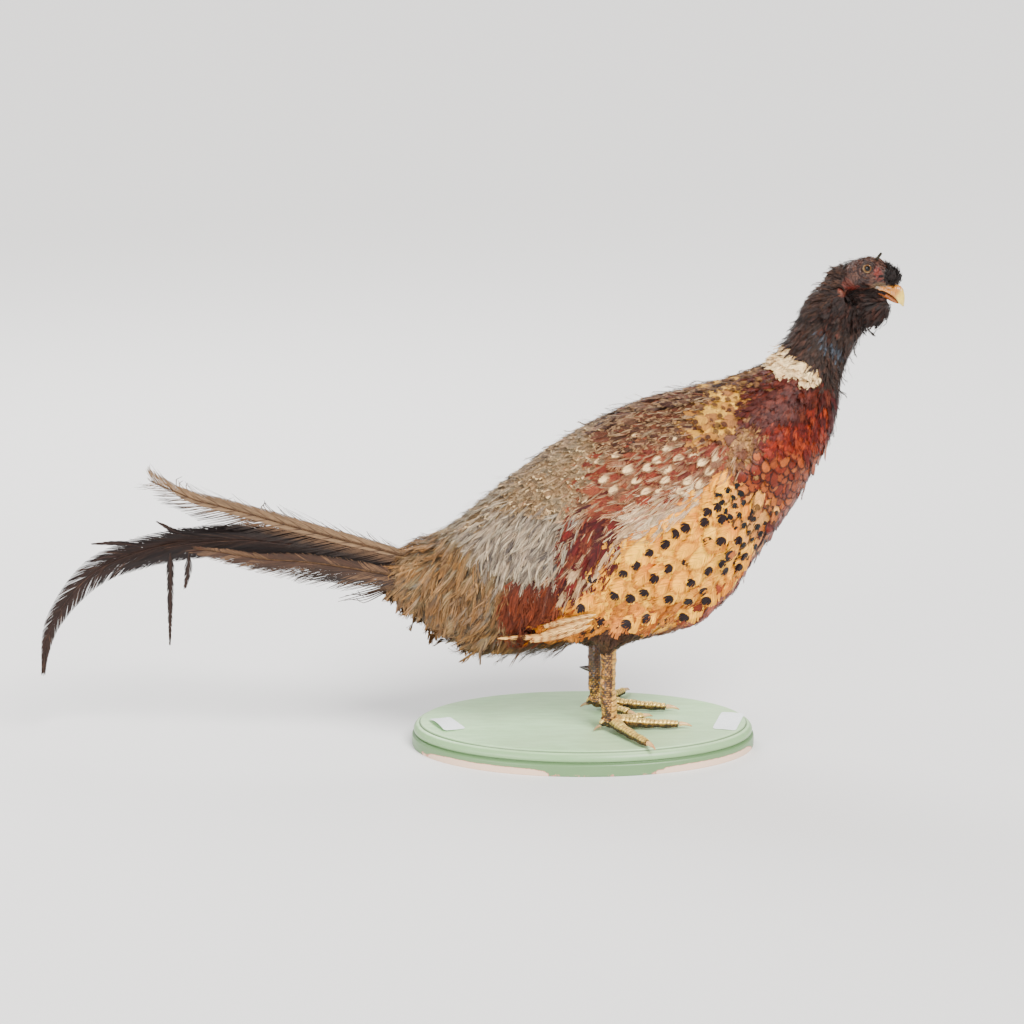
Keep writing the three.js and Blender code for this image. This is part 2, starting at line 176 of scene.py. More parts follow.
def remeshed_copy(names, voxel, times):
    """One closed skin over a merged copy of some nodes; voxel is its pitch in millimetres and times says
    how often it is relaxed."""
    shape = bmesh.new()
    for name in names:
        shape.from_mesh(NODES[name].data)
    bmesh.ops.remove_doubles(shape, verts=shape.verts, dist=1e-6)
    holder = bpy.data.objects.new("rough", mesh_from_shape("rough", shape, False))
    bpy.context.scene.collection.objects.link(holder)
    wrap = holder.modifiers.new("wrap", "REMESH")
    wrap.mode = "VOXEL"
    wrap.voxel_size = voxel * 0.001
    wrap.use_smooth_shade = True
    seen = holder.evaluated_get(bpy.context.evaluated_depsgraph_get())
    mesh = bpy.data.meshes.new_from_object(seen)
    bpy.data.objects.remove(holder)
    put_points(mesh, relax(mesh, points_of(mesh), times))
    return mesh


# ------------------------------------------------------------------ materials
def node_of(tree, kind, inputs=None, **settings):
    node = tree.nodes.new(kind)
    for key, value in settings.items():
        setattr(node, key, value)
    for key, value in (inputs or {}).items():
        if isinstance(value, bpy.types.NodeSocket):
            tree.links.new(value, node.inputs[key])
        else:
            node.inputs[key].default_value = value
    return node


def math_of(tree, operation, *values, clamp=False):
    inputs = dict(enumerate(values))
    return node_of(tree, "ShaderNodeMath", inputs, operation=operation, use_clamp=clamp).outputs[0]


def sums_of(tree):
    """Short names for a tree's commonest sums."""
    return [partial(math_of, tree, name) for name in ("ADD", "SUBTRACT", "MULTIPLY", "MAXIMUM")]


def mix_of(tree, share, first, second, blend="MIX"):
    inputs = {0: share, 6: first, 7: second}
    return node_of(tree, "ShaderNodeMix", inputs, data_type="RGBA", blend_type=blend).outputs[2]


def dimmed(tree, colour, value):
    """A colour made darker or lighter by a value."""
    return mix_of(tree, 1.0, colour, joined(tree, value, value, value), "MULTIPLY")


def joined(tree, *values):
    return node_of(tree, "ShaderNodeCombineXYZ", dict(enumerate(values))).outputs[0]


def parts_of(tree, vector):
    return node_of(tree, "ShaderNodeSeparateXYZ", {0: vector}).outputs[:3]


def attribute_of(tree, name, output="Color"):
    return node_of(tree, "ShaderNodeAttribute", attribute_name=name).outputs[output]


def place_of(tree):
    return node_of(tree, "ShaderNodeTexCoord").outputs["Object"]


def ramp_of(tree, value, low, high, to_low=0.0, to_high=1.0):
    found = node_of(
        tree, "ShaderNodeMapRange",
        {"Value": value, "From Min": low, "From Max": high, "To Min": to_low, "To Max": to_high},
        interpolation_type="SMOOTHSTEP",
    )
    return found.outputs[0]


def noise_of(tree, vector, scale, detail=3.0, roughness=0.6):
    inputs = {"Vector": vector, "Scale": scale, "Detail": detail, "Roughness": roughness}
    return node_of(tree, "ShaderNodeTexNoise", inputs).outputs["Fac"]


def bump_of(tree, height, strength, distance):
    inputs = {"Height": height, "Strength": strength, "Distance": distance}
    return node_of(tree, "ShaderNodeBump", inputs).outputs[0]


def new_material(name):
    material = bpy.data.materials.new(name)
    material.use_nodes = True
    tree = material.node_tree
    return material, tree, tree.nodes["Principled BSDF"]


def rgba(*values):
    """A paint colour for a shader's socket."""
    return (*tone(*values), 1.0)


def set_inputs(shader, **values):
    """Sets plain numbers on the shader's sockets, named with _ for the spaces."""
    for name, value in values.items():
        shader.inputs[name.replace("_", " ")].default_value = value


def link_inputs(tree, shader, colour, normal, roughness=None):
    tree.links.new(colour, shader.inputs["Base Color"])
    tree.links.new(normal, shader.inputs["Normal"])
    if roughness:
        tree.links.new(roughness, shader.inputs["Roughness"])


def plumage_material(name, roughness, sheen):
    """Feathers: a ground tone and a mark tone ride on the mesh, and the marks follow each vane."""
    material, tree, shader = new_material(name)
    plus, minus, times, larger = sums_of(tree)
    power = partial(math_of, tree, "POWER")
    pattern = node_of(tree, "ShaderNodeAttribute", attribute_name="pattern")
    spotted, fringed, barred = parts_of(tree, pattern.outputs["Vector"])
    vane = parts_of(tree, node_of(tree, "ShaderNodeUVMap", uv_map="vane").outputs[0])
    side = times(minus(vane[0], 0.5), 2.0)
    across, along = math_of(tree, "ABSOLUTE", side), vane[1]
    # streaks along the barbs, others on each side of a vane and on each feather
    barb = times(minus(along, times(across, 0.35)), 30.0)
    feather = times(pattern.outputs["Alpha"], 97.0)
    own = math_of(tree, "MULTIPLY_ADD", math_of(tree, "SIGN", side), 3.0, feather)
    streak = noise_of(tree, joined(tree, barb, own, times(across, 0.8)), 1.0, 3.0, 0.7)
    rough_edge = times(minus(streak, 0.5), 1.1)
    # a spot at the tip
    reach = power(times(across, 1.75), 2.0)
    rise = power(math_of(tree, "DIVIDE", minus(along, 0.88), 0.13), 2.0)
    spot = ramp_of(tree, plus(plus(reach, rise), rough_edge), 1.15, 0.85)
    # a fringe round the vane
    ahead = larger(math_of(tree, "DIVIDE", minus(along, 0.6), 0.4), 0.0)
    edge = math_of(tree, "SQRT", plus(power(across, 2.0), power(ahead, 2.0)))
    fringe = ramp_of(tree, plus(edge, times(rough_edge, 0.3)), 0.72, 0.86)
    # bars across it
    wave = math_of(tree, "SINE", plus(times(along, 62.0), times(across, -1.6)))
    bars = ramp_of(tree, plus(wave, rough_edge), 0.35, 0.75)
    share = larger(times(spot, spotted), times(fringe, fringed))
    share = larger(share, times(bars, barred), clamp=True)
    colour = mix_of(tree, share, attribute_of(tree, "ground"), attribute_of(tree, "mark"))
    colour = dimmed(tree, colour, ramp_of(tree, streak, 0.22, 0.78, 0.5, 1.45))
    mottle = noise_of(tree, place_of(tree), 260.0, 4.0)
    colour = dimmed(tree, colour, ramp_of(tree, mottle, 0.25, 0.75, 0.84, 1.14))
    link_inputs(tree, shader, colour, bump_of(tree, streak, 0.5, 0.0004))
    set_inputs(shader, Roughness=roughness, Specular_IOR_Level=0.22, Sheen_Weight=sheen, Sheen_Roughness=0.4)
    return material


PLUMAGE = plumage_material("plumage", 0.62, 0.06)
GLOSSY_PLUMAGE = plumage_material("glossy plumage", 0.45, 0.03)


def toned_material(name, roughness, scale, bump, depth, specular=0.4, coat=0.0, spread=0.15):
    """A surface whose tone rides on the mesh, broken up by a fine grain."""
    material, tree, shader = new_material(name)
    grain = noise_of(tree, place_of(tree), scale, 5.0, 0.65)
    tint = dimmed(tree, attribute_of(tree, "ground"), ramp_of(tree, grain, 0.3, 0.7, 1 - spread, 1 + spread))
    gloss = ramp_of(tree, grain, 0.3, 0.7, roughness * 1.15, roughness * 0.85)
    link_inputs(tree, shader, tint, bump_of(tree, grain, bump, depth), gloss)
    set_inputs(shader, Specular_IOR_Level=specular, Coat_Weight=coat, Coat_Roughness=0.2)
    return material


# ------------------------------------------------------------------ where each kind of feather shows
# Patches of the body, as ellipses seen from the side: middle x and z, half length and half height, and
# how far the ellipse is turned. Each point belongs to the patch it is deepest in.
PATCHES = {
    "breast_purple": (156, 294, 40, 17, 12),
    "breast_red": (197, 278, 8, 22, 5),
    "breast_copper": (161, 264, 27, 15, 20),
    "breast_brown": (121, 261, 14, 17, 10),
    "breast_scaled": (149, 232, 30, 24, 35),
    "breast_black": (122, 197, 18, 37, -36),
    "breast_low": (146, 186, 10, 32, -33),
    "flank": (64, 168, 88, 38, 41),
    # the lower flank: its own browner gold, and painted shade there too
    "flank_low": (42, 128, 62, 14, 20),
    "belly": (100, 122, 52, 9, 48),
    "under": (50, 96, 60, 12, 6),
    "shoulder": (103, 283, 31, 13, 33),
    "nape": (133, 309, 25, 9, 25),
    "mantle": (52, 282, 60, 21, 20),
    "back": (-30, 243, 54, 30, 38),
    "coverts": (50, 241, 58, 22, 11),
    "grey": (57, 209, 42, 15, 33),
    "chestnut": (0, 171, 20, 34, -28),
    "rump": (-58, 176, 40, 33, 10),
    "rump_top": (-84, 210, 40, 24, 33),
    "rump_low": (-104, 132, 40, 40, 0),
    "tail_root": (-150, 158, 22, 22, 0),
    "orange": (-49, 125, 17, 17, 0),
    "vent": (-38, 82, 40, 14, 0),
}
HEAD_PATCHES = {
    "face": (4, 4, 14.5, 10.5, 0),
    "wattle": (-6, -7.5, 6, 7, 0),
    "crown": (-3, 16, 18, 5, 12),
    "tuft": (25, 9.5, 6.2, 6.2, -30),
    "throat": (13, -23, 20, 14, 0),
    "gape": (19, -4.5, 12, 4.6, -20),
    "nape_head": (-24, -8, 12, 14, 0),
}
# The neck's blue-grey patch is a painted sheen: a spot of gloss painted on the dark neck feathers.
NECK_PATCHES = {"neck_blue": (190, 331, 14, 5, -50), "neck_red": (188, 344, 9, 5, -60)}
PATCH_NAMES = [*PATCHES, *HEAD_PATCHES, "collar", "neck", "neck_blue", "neck_red", "thigh"]
INDEX = {name: i for i, name in enumerate(PATCH_NAMES)}
# The length of feather that decides which patch a root belongs to, where it isn't the usual one.
USUAL_LENGTH = 15
LENGTHS = {
    "flank": 28, "flank_low": 28, "belly": 22, "under": 22, "mantle": 18, "coverts": 18, "grey": 24,
    "chestnut": 28, "rump": 22, "rump_low": 30, "tail_root": 22, "orange": 24, "vent": 22, "thigh": 9,
    "collar": 9, "neck": 9, "neck_blue": 8, "neck_red": 9, "throat": 9, "nape_head": 9, "crown": 4,
    "face": 3, "wattle": 3, "tuft": 7, "back": 12,
}


def ellipse_depths(flat, table):
    """How far out of each ellipse of a table each point lies: under 1 is inside."""
    found = []
    for x, z, long, high, turn in table.values():
        angle = math.radians(turn)
        dx, dz = flat[:, 0] - x, flat[:, 1] - z
        u = (dx * math.cos(angle) + dz * math.sin(angle)) / long
        v = (dz * math.cos(angle) - dx * math.sin(angle)) / high
        found.append(u * u + v * v)
    return np.array(found)


def patches_at(points, blur=0.0):
    """The patch that each point of the body belongs to; blur moves the borders about, in millimetres."""
    moved = points + chance.normal(0, 1, points.shape) * blur
    patch = np.argmin(ellipse_depths(moved[:, [0, 2]], PATCHES), 0)
    up, across = above_collar(moved)
    head = in_head(moved)
    on_head = np.argmin(ellipse_depths(head[:, [0, 2]], HEAD_PATCHES), 0) + len(PATCHES)
    # the neck's blue-grey painted sheen and its red patch
    blue, red = ellipse_depths(moved[:, [0, 2]], NECK_PATCHES) < 1
    neck = np.where(blue, INDEX["neck_blue"], np.where(red, INDEX["neck_red"], INDEX["neck"]))
    patch = np.where(up > np.where(across > 27, -6, 0), neck, patch)
    patch = np.where((up > 46) | ((up > 36) & (head[:, 2] > -36)), on_head, patch)
    ring = (up > -12 + 0.12 * across) & (up <= 1) & (across < 28)
    patch = np.where(ring, INDEX["collar"], patch)
    low_leg = (np.abs(moved[:, 0] - 24) < 33) & (np.abs(moved[:, 1]) < 60)
    return np.where(low_leg & (moved[:, 2] < 116), INDEX["thigh"], patch)


# The lie of the feathers seen from the side: x, z and the way they point, in degrees.
LIE = np.array([
    (205, 345, 243), (175, 335, 238), (195, 310, 250), (152, 325, 212), (176, 300, 235), (198, 285, 262),
    (192, 250, 262), (175, 215, 256), (150, 175, 248), (125, 135, 240), (125, 250, 238), (120, 200, 236),
    (90, 160, 227), (60, 120, 216), (40, 100, 207), (100, 290, 214), (50, 282, 205), (0, 257, 207),
    (-50, 228, 213), (-90, 203, 216), (-130, 172, 207), (60, 240, 207), (20, 225, 212), (62, 205, 216),
    (0, 178, 240), (-12, 142, 244), (-40, 192, 240), (-62, 170, 252), (-90, 160, 250), (-112, 130, 252),
    (-140, 140, 228), (-152, 160, 202), (-50, 128, 256), (-30, 90, 205), (-85, 95, 232), (20, 84, 262),
])


def lie_at(points, normals):
    """The way a feather points at each place on the skin."""
    away = points[:, None, [0, 2]] - LIE[None, :, :2]
    weight = 1 / (np.sum(away * away, -1) + 60) ** 2
    angle = np.radians(LIE[:, 2])
    way = np.stack([weight @ np.cos(angle), np.zeros(len(points)), weight @ np.sin(angle)], -1)
    way /= np.linalg.norm(way, axis=1, keepdims=True)
    head = in_head(points)
    up, _ = above_collar(points)
    share = smooth_step(up, 34, 52)[:, None]
    down = smooth_step(-head[:, 2], 4, 22)[:, None]
    on_head = -FORWARD * (1 - down) + (-FORWARD * 0.55 - UPWARD * 0.8) * down
    front = (smooth_step(head[:, 0], 17, 21) * smooth_step(head[:, 2], -2, 2))[:, None]
    on_head = on_head * (1 - front) + (UPWARD + FORWARD * 0.25) * front
    way = way * (1 - share) + on_head * share
    way -= normals * np.sum(way * normals, 1, keepdims=True)
    return way / np.maximum(np.linalg.norm(way, axis=1, keepdims=True), 1e-6)


# ------------------------------------------------------------------ the skin
# How far the skin lies inside the feathers' outline, in millimetres.
USUAL_DEPTH = 6.5
COAT_DEPTH = {
    "face": 0.4, "wattle": 0.4, "gape": 0.8, "crown": 0.8, "tuft": 1.9, "throat": 4.5, "nape_head": 3.0,
    "neck": 4.0, "collar": 5.0, "thigh": 2.0, "breast_purple": 4.2, "breast_red": 3.4, "breast_copper": 5.0,
    "breast_scaled": 4.0, "breast_low": 2.8, "breast_black": 4.0, "belly": 2.6, "rump": 7.5,
    "rump_low": 8.5, "tail_root": 6.0,
}
TROUSER_TOP = 98
SHANK_AT = {"right": (21.0, -25.0), "left": (12.5, 27.0)}
FLESH = ("trunk", "neck", "head", "wing_right", "wing_left", "thigh_right", "thigh_left")


def skin_mesh():
    """The skin under the coat, as deep in each patch as its feathers need."""
    mesh = remeshed_copy(FLESH, 2.0, 6)
    points = points_of(mesh)
    depth = np.array([COAT_DEPTH.get(name, USUAL_DEPTH) for name in PATCH_NAMES])[patches_at(points)]
    depth = relax(mesh, depth[:, None], 8)
    points = relax(mesh, points - normals_of(mesh) * depth, 3)
    # the trousers lie further back than the flesh, taper round the shanks and end higher
    points[:, 0] -= 11 * smooth_step(-points[:, 2], -124, -98) * np.exp(-(((points[:, 0] - 32) / 26) ** 2))
    low = (np.abs(points[:, 0] - 24) < 38) & (points[:, 2] < TROUSER_TOP)
    taper = 1 - 0.6 * np.clip((TROUSER_TOP - points[:, 2]) / 22, 0, 1) * low
    shank = np.where(points[:, 1:2] < 0, SHANK_AT["right"], SHANK_AT["left"])
    points[:, :2] = shank + (points[:, :2] - shank) * taper[:, None]
    points[:, 2] = np.where(low, TROUSER_TOP + (points[:, 2] - TROUSER_TOP) * 0.72, points[:, 2])
    put_points(mesh, points)
    # the bare head is worked finer
    shape = bmesh.new()
    shape.from_mesh(mesh)
    for _ in range(2):
        shape.verts.ensure_lookup_table()
        near = in_head(np.array([v.co for v in shape.verts]) * 1000)
        bare = (near[:, 0] > -22) & (near[:, 0] < 34) & (near[:, 2] > -16)
        edges = [e for e in shape.edges if bare[e.verts[0].index] and bare[e.verts[1].index]]
        bmesh.ops.subdivide_edges(shape, edges=edges, cuts=1, use_grid_fill=True)
        shape.verts.index_update()
    bmesh.ops.triangulate(shape, faces=[f for f in shape.faces if len(f.verts) > 4])
    shape.to_mesh(mesh)
    shape.free()
    points = points_of(mesh)
    near = in_head(points)
    # relaxed on the bare head only
    bare = ((near[:, 0] > -24) & (near[:, 2] > -18))[:, None]
    points = np.where(bare, relax(mesh, points, 5), points)
    put_points(mesh, points)
    return mesh


def shape_head(mesh):
    """Lids, lores, cheeks and the wrinkles of the bare skin."""
    points = points_of(mesh)
    normals = normals_of(mesh)
    near = in_head(points)
    ahead, up = near[:, 0], near[:, 2]
    away = np.hypot(ahead - EYE_AT[0], (up - EYE_AT[1]) * 1.08)
    side = smooth_step(np.abs(near[:, 1]), 4, 8) * (np.abs(ahead) < 34) * (up > -20)
    # the swollen lids and the socket
    push = 1.5 * np.exp(-(((away - 6.2) / 1.7) ** 2))
    push -= 1.6 * smooth_step(-away, -4.8, -3.2)
    # the lore's hollow, the cheek, the fold under it and the hollow behind the bill
    push -= 1.0 * np.exp(-((ahead - 15) ** 2 + (up - 6) ** 2) / 14)
    push += 1.3 * np.exp(-((ahead + 2) ** 2 / 60 + (up + 3) ** 2 / 30))
    push -= 0.7 * np.exp(-((ahead - 8) ** 2 / 50 + (up + 6.5) ** 2 / 3))
    push -= 3.6 * np.exp(-(((up + 7) / 7) ** 2)) * smooth_step(ahead, 9, 18)
    push *= side
    push -= 2.4 * smooth_step(ahead, 15, 19) * smooth_step(-up, 2, 5) * smooth_step(up, -16, -12)
    skull = ((ahead > -26) & (ahead < 34) & (up > -17)).astype(float)
    crease = np.zeros(len(points))
    for i in np.flatnonzero(skull):
        at = Vector(points[i]) * 0.42
        turned = math.atan2(up[i] - EYE_AT[1], ahead[i] - EYE_AT[0])
        round_eye = Vector((away[i] * 0.75, math.cos(turned) * 1.6, math.sin(turned) * 1.6))
        coarse, fine, ringed = (abs(noise.noise(place)) for place in (at, at * 2.3, round_eye))
        crease[i] = 0.5 - coarse * 2.0 + 0.5 * (0.3 - fine) + 0.8 * (0.3 - ringed)
    ring = 0.25 * np.cos(away * 2.4) * np.exp(-(((away - 8) / 3) ** 2))
    push += (crease * 0.5 + ring) * skull * smooth_step(away, 4.5, 6.5)
    put_points(mesh, points + normals * push[:, None])
    return away, crease * skull


# Tones of each patch: shades that its feathers take.
TONES = {
    "breast_purple": [(108, 50, 32), (98, 42, 28), (118, 56, 34), (90, 38, 27), (124, 68, 46)],
    "breast_red": [(92, 30, 16), (74, 21, 14), (108, 41, 22)],
    "breast_copper": [(146, 59, 18), (130, 49, 16), (160, 75, 28), (108, 39, 18)],
    "breast_brown": [(158, 118, 78), (140, 96, 60), (176, 138, 88), (126, 82, 56)],
    "breast_scaled": [(158, 90, 48), (142, 74, 38), (172, 106, 58), (130, 60, 32)],
    "breast_black": [(208, 150, 82), (190, 124, 66), (220, 168, 98)],
    "breast_low": [(144, 74, 44), (130, 56, 36), (160, 94, 60)],
    "flank": [(244, 176, 48), (250, 190, 64), (232, 154, 38), (252, 202, 84), (212, 130, 36)],
    # the lower flank's browner gold, darkened as painted shade as well
    "flank_low": [(204, 132, 48), (184, 106, 40), (222, 150, 62), (162, 86, 36)],
    "belly": [(156, 76, 42), (168, 92, 58), (140, 58, 34)],
    "under": [(162, 98, 50), (178, 116, 60), (138, 76, 42), (196, 140, 78)],
    "shoulder": [(204, 159, 76), (214, 173, 86), (184, 137, 70), (164, 119, 70)],
    "nape": [(152, 116, 74), (176, 138, 82), (130, 96, 66)],
    "mantle": [(110, 80, 60), (94, 64, 46), (126, 96, 74), (80, 50, 36), (116, 70, 46)],
    "back": [(136, 112, 86), (148, 122, 92), (122, 102, 80), (130, 116, 96)],
    "coverts": [(136, 68, 46), (120, 58, 40), (148, 86, 58), (140, 104, 80)],
    "grey": [(216, 188, 150), (228, 200, 160), (200, 168, 128), (166, 98, 48)],
    "chestnut": [(102, 28, 8), (116, 38, 12), (86, 20, 6), (126, 62, 36)],
    "rump": [(172, 156, 138), (146, 134, 122), (112, 104, 99), (188, 170, 146)],
    "rump_top": [(134, 112, 86), (120, 102, 80), (146, 122, 94), (124, 112, 92)],
    "rump_low": [(140, 121, 92), (118, 101, 78), (158, 141, 112), (100, 84, 65), (140, 133, 120)],
    "tail_root": [(140, 120, 96), (124, 104, 84), (156, 138, 112)],
    "orange": [(118, 58, 22), (102, 48, 20), (134, 74, 34), (78, 38, 20)],
    "vent": [(96, 66, 44), (78, 52, 38), (120, 86, 56)],
    "face": [(80, 52, 44), (72, 46, 40)],
    "wattle": [(128, 70, 56), (108, 58, 48)],
    "gape": [(128, 108, 88), (112, 90, 72)],
    "crown": [(96, 62, 50), (84, 54, 44)],
    "tuft": [(46, 37, 36), (58, 46, 42)],
    "throat": [(58, 42, 38), (68, 48, 42), (48, 36, 34), (84, 54, 44)],
    "nape_head": [(76, 56, 48), (64, 48, 42), (96, 72, 60)],
    "collar": [(232, 202, 154), (242, 216, 172), (214, 178, 128)],
    "neck": [(77, 64, 58), (87, 70, 62), (69, 58, 54), (99, 74, 64)],
    # the blue-grey tones of the neck's painted sheen
    "neck_blue": [(90, 95, 102), (80, 80, 84), (102, 110, 120), (68, 63, 62)],
    "neck_red": [(80, 52, 44), (92, 60, 48), (68, 48, 44), (102, 64, 52)],
    "thigh": [(96, 68, 50), (80, 56, 42), (112, 84, 62)],
}


# The red places of the face: forward and up, half length and half height, and the turn in radians.
WATTLES = [(-10.5, -9, 5, 2.2, -1.2), (-4, -8.5, 6, 2.5, 0.1), (4, -5.5, 7, 2, 0.2), (14.4, 8, 9, 4, -1.0)]


def skin_tones(mesh, away, creases):
    """The skin takes each patch's tone, darker than the feathers over it; the bare face is painted."""
    points = points_of(mesh)
    patch = patches_at(points)
    table = np.array([np.mean([tone(*t) for t in TONES[name]], 0) for name in PATCH_NAMES])
    ground = table[patch] * 0.8
    near = in_head(points)
    bare = np.isin(patch, [INDEX[n] for n in ("face", "wattle", "crown", "gape")])
    patchy, fine = np.zeros((2, len(points)))
    patchy[bare], fine[bare] = noise_at(points[bare], 0.22), noise_at(points[bare], 0.8)

    def blend(share, colour):
        nonlocal ground
        ground = ground * (1 - share[:, None]) + tone(*colour) * share[:, None]

    def blob(forward, up, long, high, turn=0.0):
        dx, dz = near[:, 0] - forward, near[:, 2] - up
        u = (dx * math.cos(turn) + dz * math.sin(turn)) / long
        v = (dz * math.cos(turn) - dx * math.sin(turn)) / high
        return np.exp(-(u**2) - v**2)

    blend(bare * smooth_step(patchy + 0.5 * fine, -0.1, 0.5) * 0.35, (124, 88, 72))
    blend(bare * smooth_step(0.4 * fine - patchy, 0.05, 0.5) * 0.4, (58, 36, 32))
    # painted shade in the creases of the wrinkles, and a painted highlight on their ridges
    blend(bare * smooth_step(creases, -0.1, -0.9) * 0.55, (40, 26, 24))
    blend(bare * smooth_step(creases, 0.25, 0.8) * 0.35, (150, 112, 92))
    red = np.maximum.reduce([blob(*place) for place in WATTLES])
    blend(bare * smooth_step(red + 0.5 * fine, 0.45, 0.95) * 0.7, (132, 60, 50))
    blend(bare * smooth_step(red + 0.8 * fine, 1.0, 1.3) * 0.6, (160, 98, 82))
    blend(bare * smooth_step(blob(-9, -13, 3, 3) + 0.4 * fine, 0.5, 0.9) * 0.25, (166, 120, 88))
    blend(smooth_step(blob(20, -1, 8, 4), 0.3, 0.7) * (near[:, 0] > 12) * 0.7, (126, 110, 88))
    top = bare * smooth_step(near[:, 2], 14, 17) * smooth_step(10 - near[:, 0], -4, 6)
    blend(top * smooth_step(fine, -0.1, 0.3) * 0.6, (168, 128, 96))
    blend(bare * smooth_step(-away, -5.2, -4.4), (120, 96, 72))
    blend(bare * smooth_step(-away, -4.2, -3.6), (60, 42, 34))
    add_tone(mesh, "ground", ground)


SKIN = toned_material("skin", 0.55, 620.0, 0.5, 0.0006, specular=0.35)
skin_shape = skin_mesh()
skin_tones(skin_shape, *shape_head(skin_shape))
new_object("skin", skin_shape, SKIN, "body_plumage", FLESH)

flat_points = points_of(skin_shape)
skin_shape.calc_loop_triangles()
skin_triangles = np.empty(len(skin_shape.loop_triangles) * 3, np.int32)
skin_shape.loop_triangles.foreach_get("vertices", skin_triangles)
skin_triangles = skin_triangles.reshape(-1, 3)
surface = BVHTree.FromPolygons(flat_points.tolist(), skin_triangles.tolist())
skin_normals = relax(skin_shape, normals_of(skin_shape), 4)
skin_normals /= np.linalg.norm(skin_normals, axis=1, keepdims=True)


def snapped(points):
    """The nearest places on the skin, and the way out of it there."""
    at, out = np.empty_like(points), np.empty_like(points)
    for i, point in enumerate(points):
        place, _, face, _ = surface.find_nearest(Vector(point))
        at[i] = place
        corners = skin_triangles[face]
        out[i] = skin_normals[corners].mean(0)
    return at, out / np.linalg.norm(out, axis=1, keepdims=True)


def scattered(count):
    """Evenly random places all over the skin."""
    a, b, c = (flat_points[skin_triangles[:, k]] for k in range(3))
    area = np.linalg.norm(np.cross(b - a, c - a), axis=1)
    chosen = chance.choice(len(area), count, p=area / area.sum())
    u, v = chance.random(count), chance.random(count)
    u, v = np.where(u + v > 1, 1 - u, u), np.where(u + v > 1, 1 - v, v)
    points = a[chosen] + (b - a)[chosen] * u[:, None] + (c - a)[chosen] * v[:, None]
    normals = skin_normals[skin_triangles[chosen]].mean(1)
    return points, normals / np.linalg.norm(normals, axis=1, keepdims=True)


SEEDS = 120000
seed_points, seed_normals = scattered(SEEDS)
# a feather shows mostly past its root, so a root belongs to the patch that its tip lies in
seed_lengths = np.array([LENGTHS.get(name, USUAL_LENGTH) for name in PATCH_NAMES])[patches_at(seed_points)]
seed_patches = patches_at(seed_points + lie_at(seed_points, seed_normals) * seed_lengths[:, None] * 0.62, 1.8)


def spaced(chosen, gap):
    """Thins places out until no two are nearer than the gap."""
    kept, cells = [], {}
    for i in chosen:
        point = seed_points[i]
        cell = tuple((point // gap).astype(int))
        near = (
            j
            for dx in (-1, 0, 1)
            for dy in (-1, 0, 1)
            for dz in (-1, 0, 1)
            for j in cells.get((cell[0] + dx, cell[1] + dy, cell[2] + dz), ())
        )
        if all(np.dot(point - seed_points[j], point - seed_points[j]) > gap * gap for j in near):
            kept.append(i)
            cells.setdefault(cell, []).append(i)
    return np.array(kept, int)


# ------------------------------------------------------------------ feathers
STATIONS = 5  # along each feather's spine
CUP = 0.05  # how far a vane's sides curl in, for its width
TURNS = (0.25, 0.95)  # from where to where along a feather its tone turns into its tip's
PATCH_SIZE = 0.003  # the length of one feather's patch on the OFBake map
SPREAD = 0.12  # how unlike one another feathers are in length and width


def vane_template(barbs, slenderness, reach, width, blunt, belly=1.6, fullness=0.6):
    """One feather of unit length: a shaft and pairs of barbs. Slenderness is its half width, reach how far
    a barb runs on towards the tip, width and blunt are a barb's own and its end's, belly and fullness shape
    the outline. Gives each point's place along and across, its barb and how far out on the barb it is, and
    the triangles."""
    along, across, owner, free, faces = [], [], [], [], []

    def outline(v):
        return slenderness * max(math.sin(math.pi * min(max(v, 0), 1) ** belly), 0) ** fullness

    def add(points, barb, shares):
        first = len(along)
        for (v, w), share in zip(points, shares):
            along.append(v)
            across.append(w)
            owner.append(barb)
            free.append(share)
        return first

    steps = 4
    rail = []
    for k in range(steps + 1):
        thin = slenderness * 0.03 * (1 - 0.7 * k / steps)
        rail += [(k / steps, -thin), (k / steps, thin)]
    first = add(rail, 0, [0.0] * len(rail))
    for k in range(steps):
        i = first + 2 * k
        faces += [(i, i + 2, i + 1), (i + 1, i + 2, i + 3)]
    pitch = 0.9 / barbs
    barb = 1
    for side in (-1, 1):
        for k in range(barbs):
            start = 0.05 + pitch * (k + 0.5)
            end = min(start + reach * (1 - 0.45 * start), 0.995)
            if end > 0.97:
                end = 0.93 + 0.065 * (k + 1) / barbs
            tip = np.array([end, side * outline(end)])
            root = np.array([start, 0.0])
            middle = root + (tip - root) * np.array([0.42, 0.6])
            line = [root, middle, tip]
            points = []
            for j, at in enumerate(line):
                ahead = line[min(j + 1, 2)] - line[max(j - 1, 0)]
                away = np.array([-ahead[1], ahead[0]]) / max(np.linalg.norm(ahead), 1e-6)
                half = pitch * width * (0.62, 0.62, 0.42 * blunt)[j]
                points += [at - away * half, at + away * half]
            i = add([tuple(p) for p in points], barb, [0.0, 0.0, 0.55, 0.55, 1.0, 1.0])
            for a, b, c, d in ((i, i + 2, i + 3, i + 1), (i + 2, i + 4, i + 5, i + 3)):
                faces += [(a, b, c), (a, c, d)] if side < 0 else [(a, c, b), (a, d, c)]
            barb += 1
    return {
        "along": np.clip(np.array(along), 0, 1.03), "across": np.array(across), "barb": np.array(owner),
        "free": np.array(free), "faces": np.array(faces), "barbs": barb, "half": slenderness, "pitch": pitch,
    }


def clinging(count, barbs, cut):
    """How far each barb is drawn towards the middle of the clump it clings to, in barbs."""
    clump = np.cumsum(chance.random((count, barbs)) < cut, axis=1)
    order = np.arange(barbs)[None] + np.zeros((count, 1))
    pull = np.zeros((count, barbs))
    for g in range(clump.max() + 1):
        mask = clump == g
        middle = (order * mask).sum(1) / np.maximum(mask.sum(1), 1)
        pull += mask * (middle[:, None] - order)
    return pull, clump


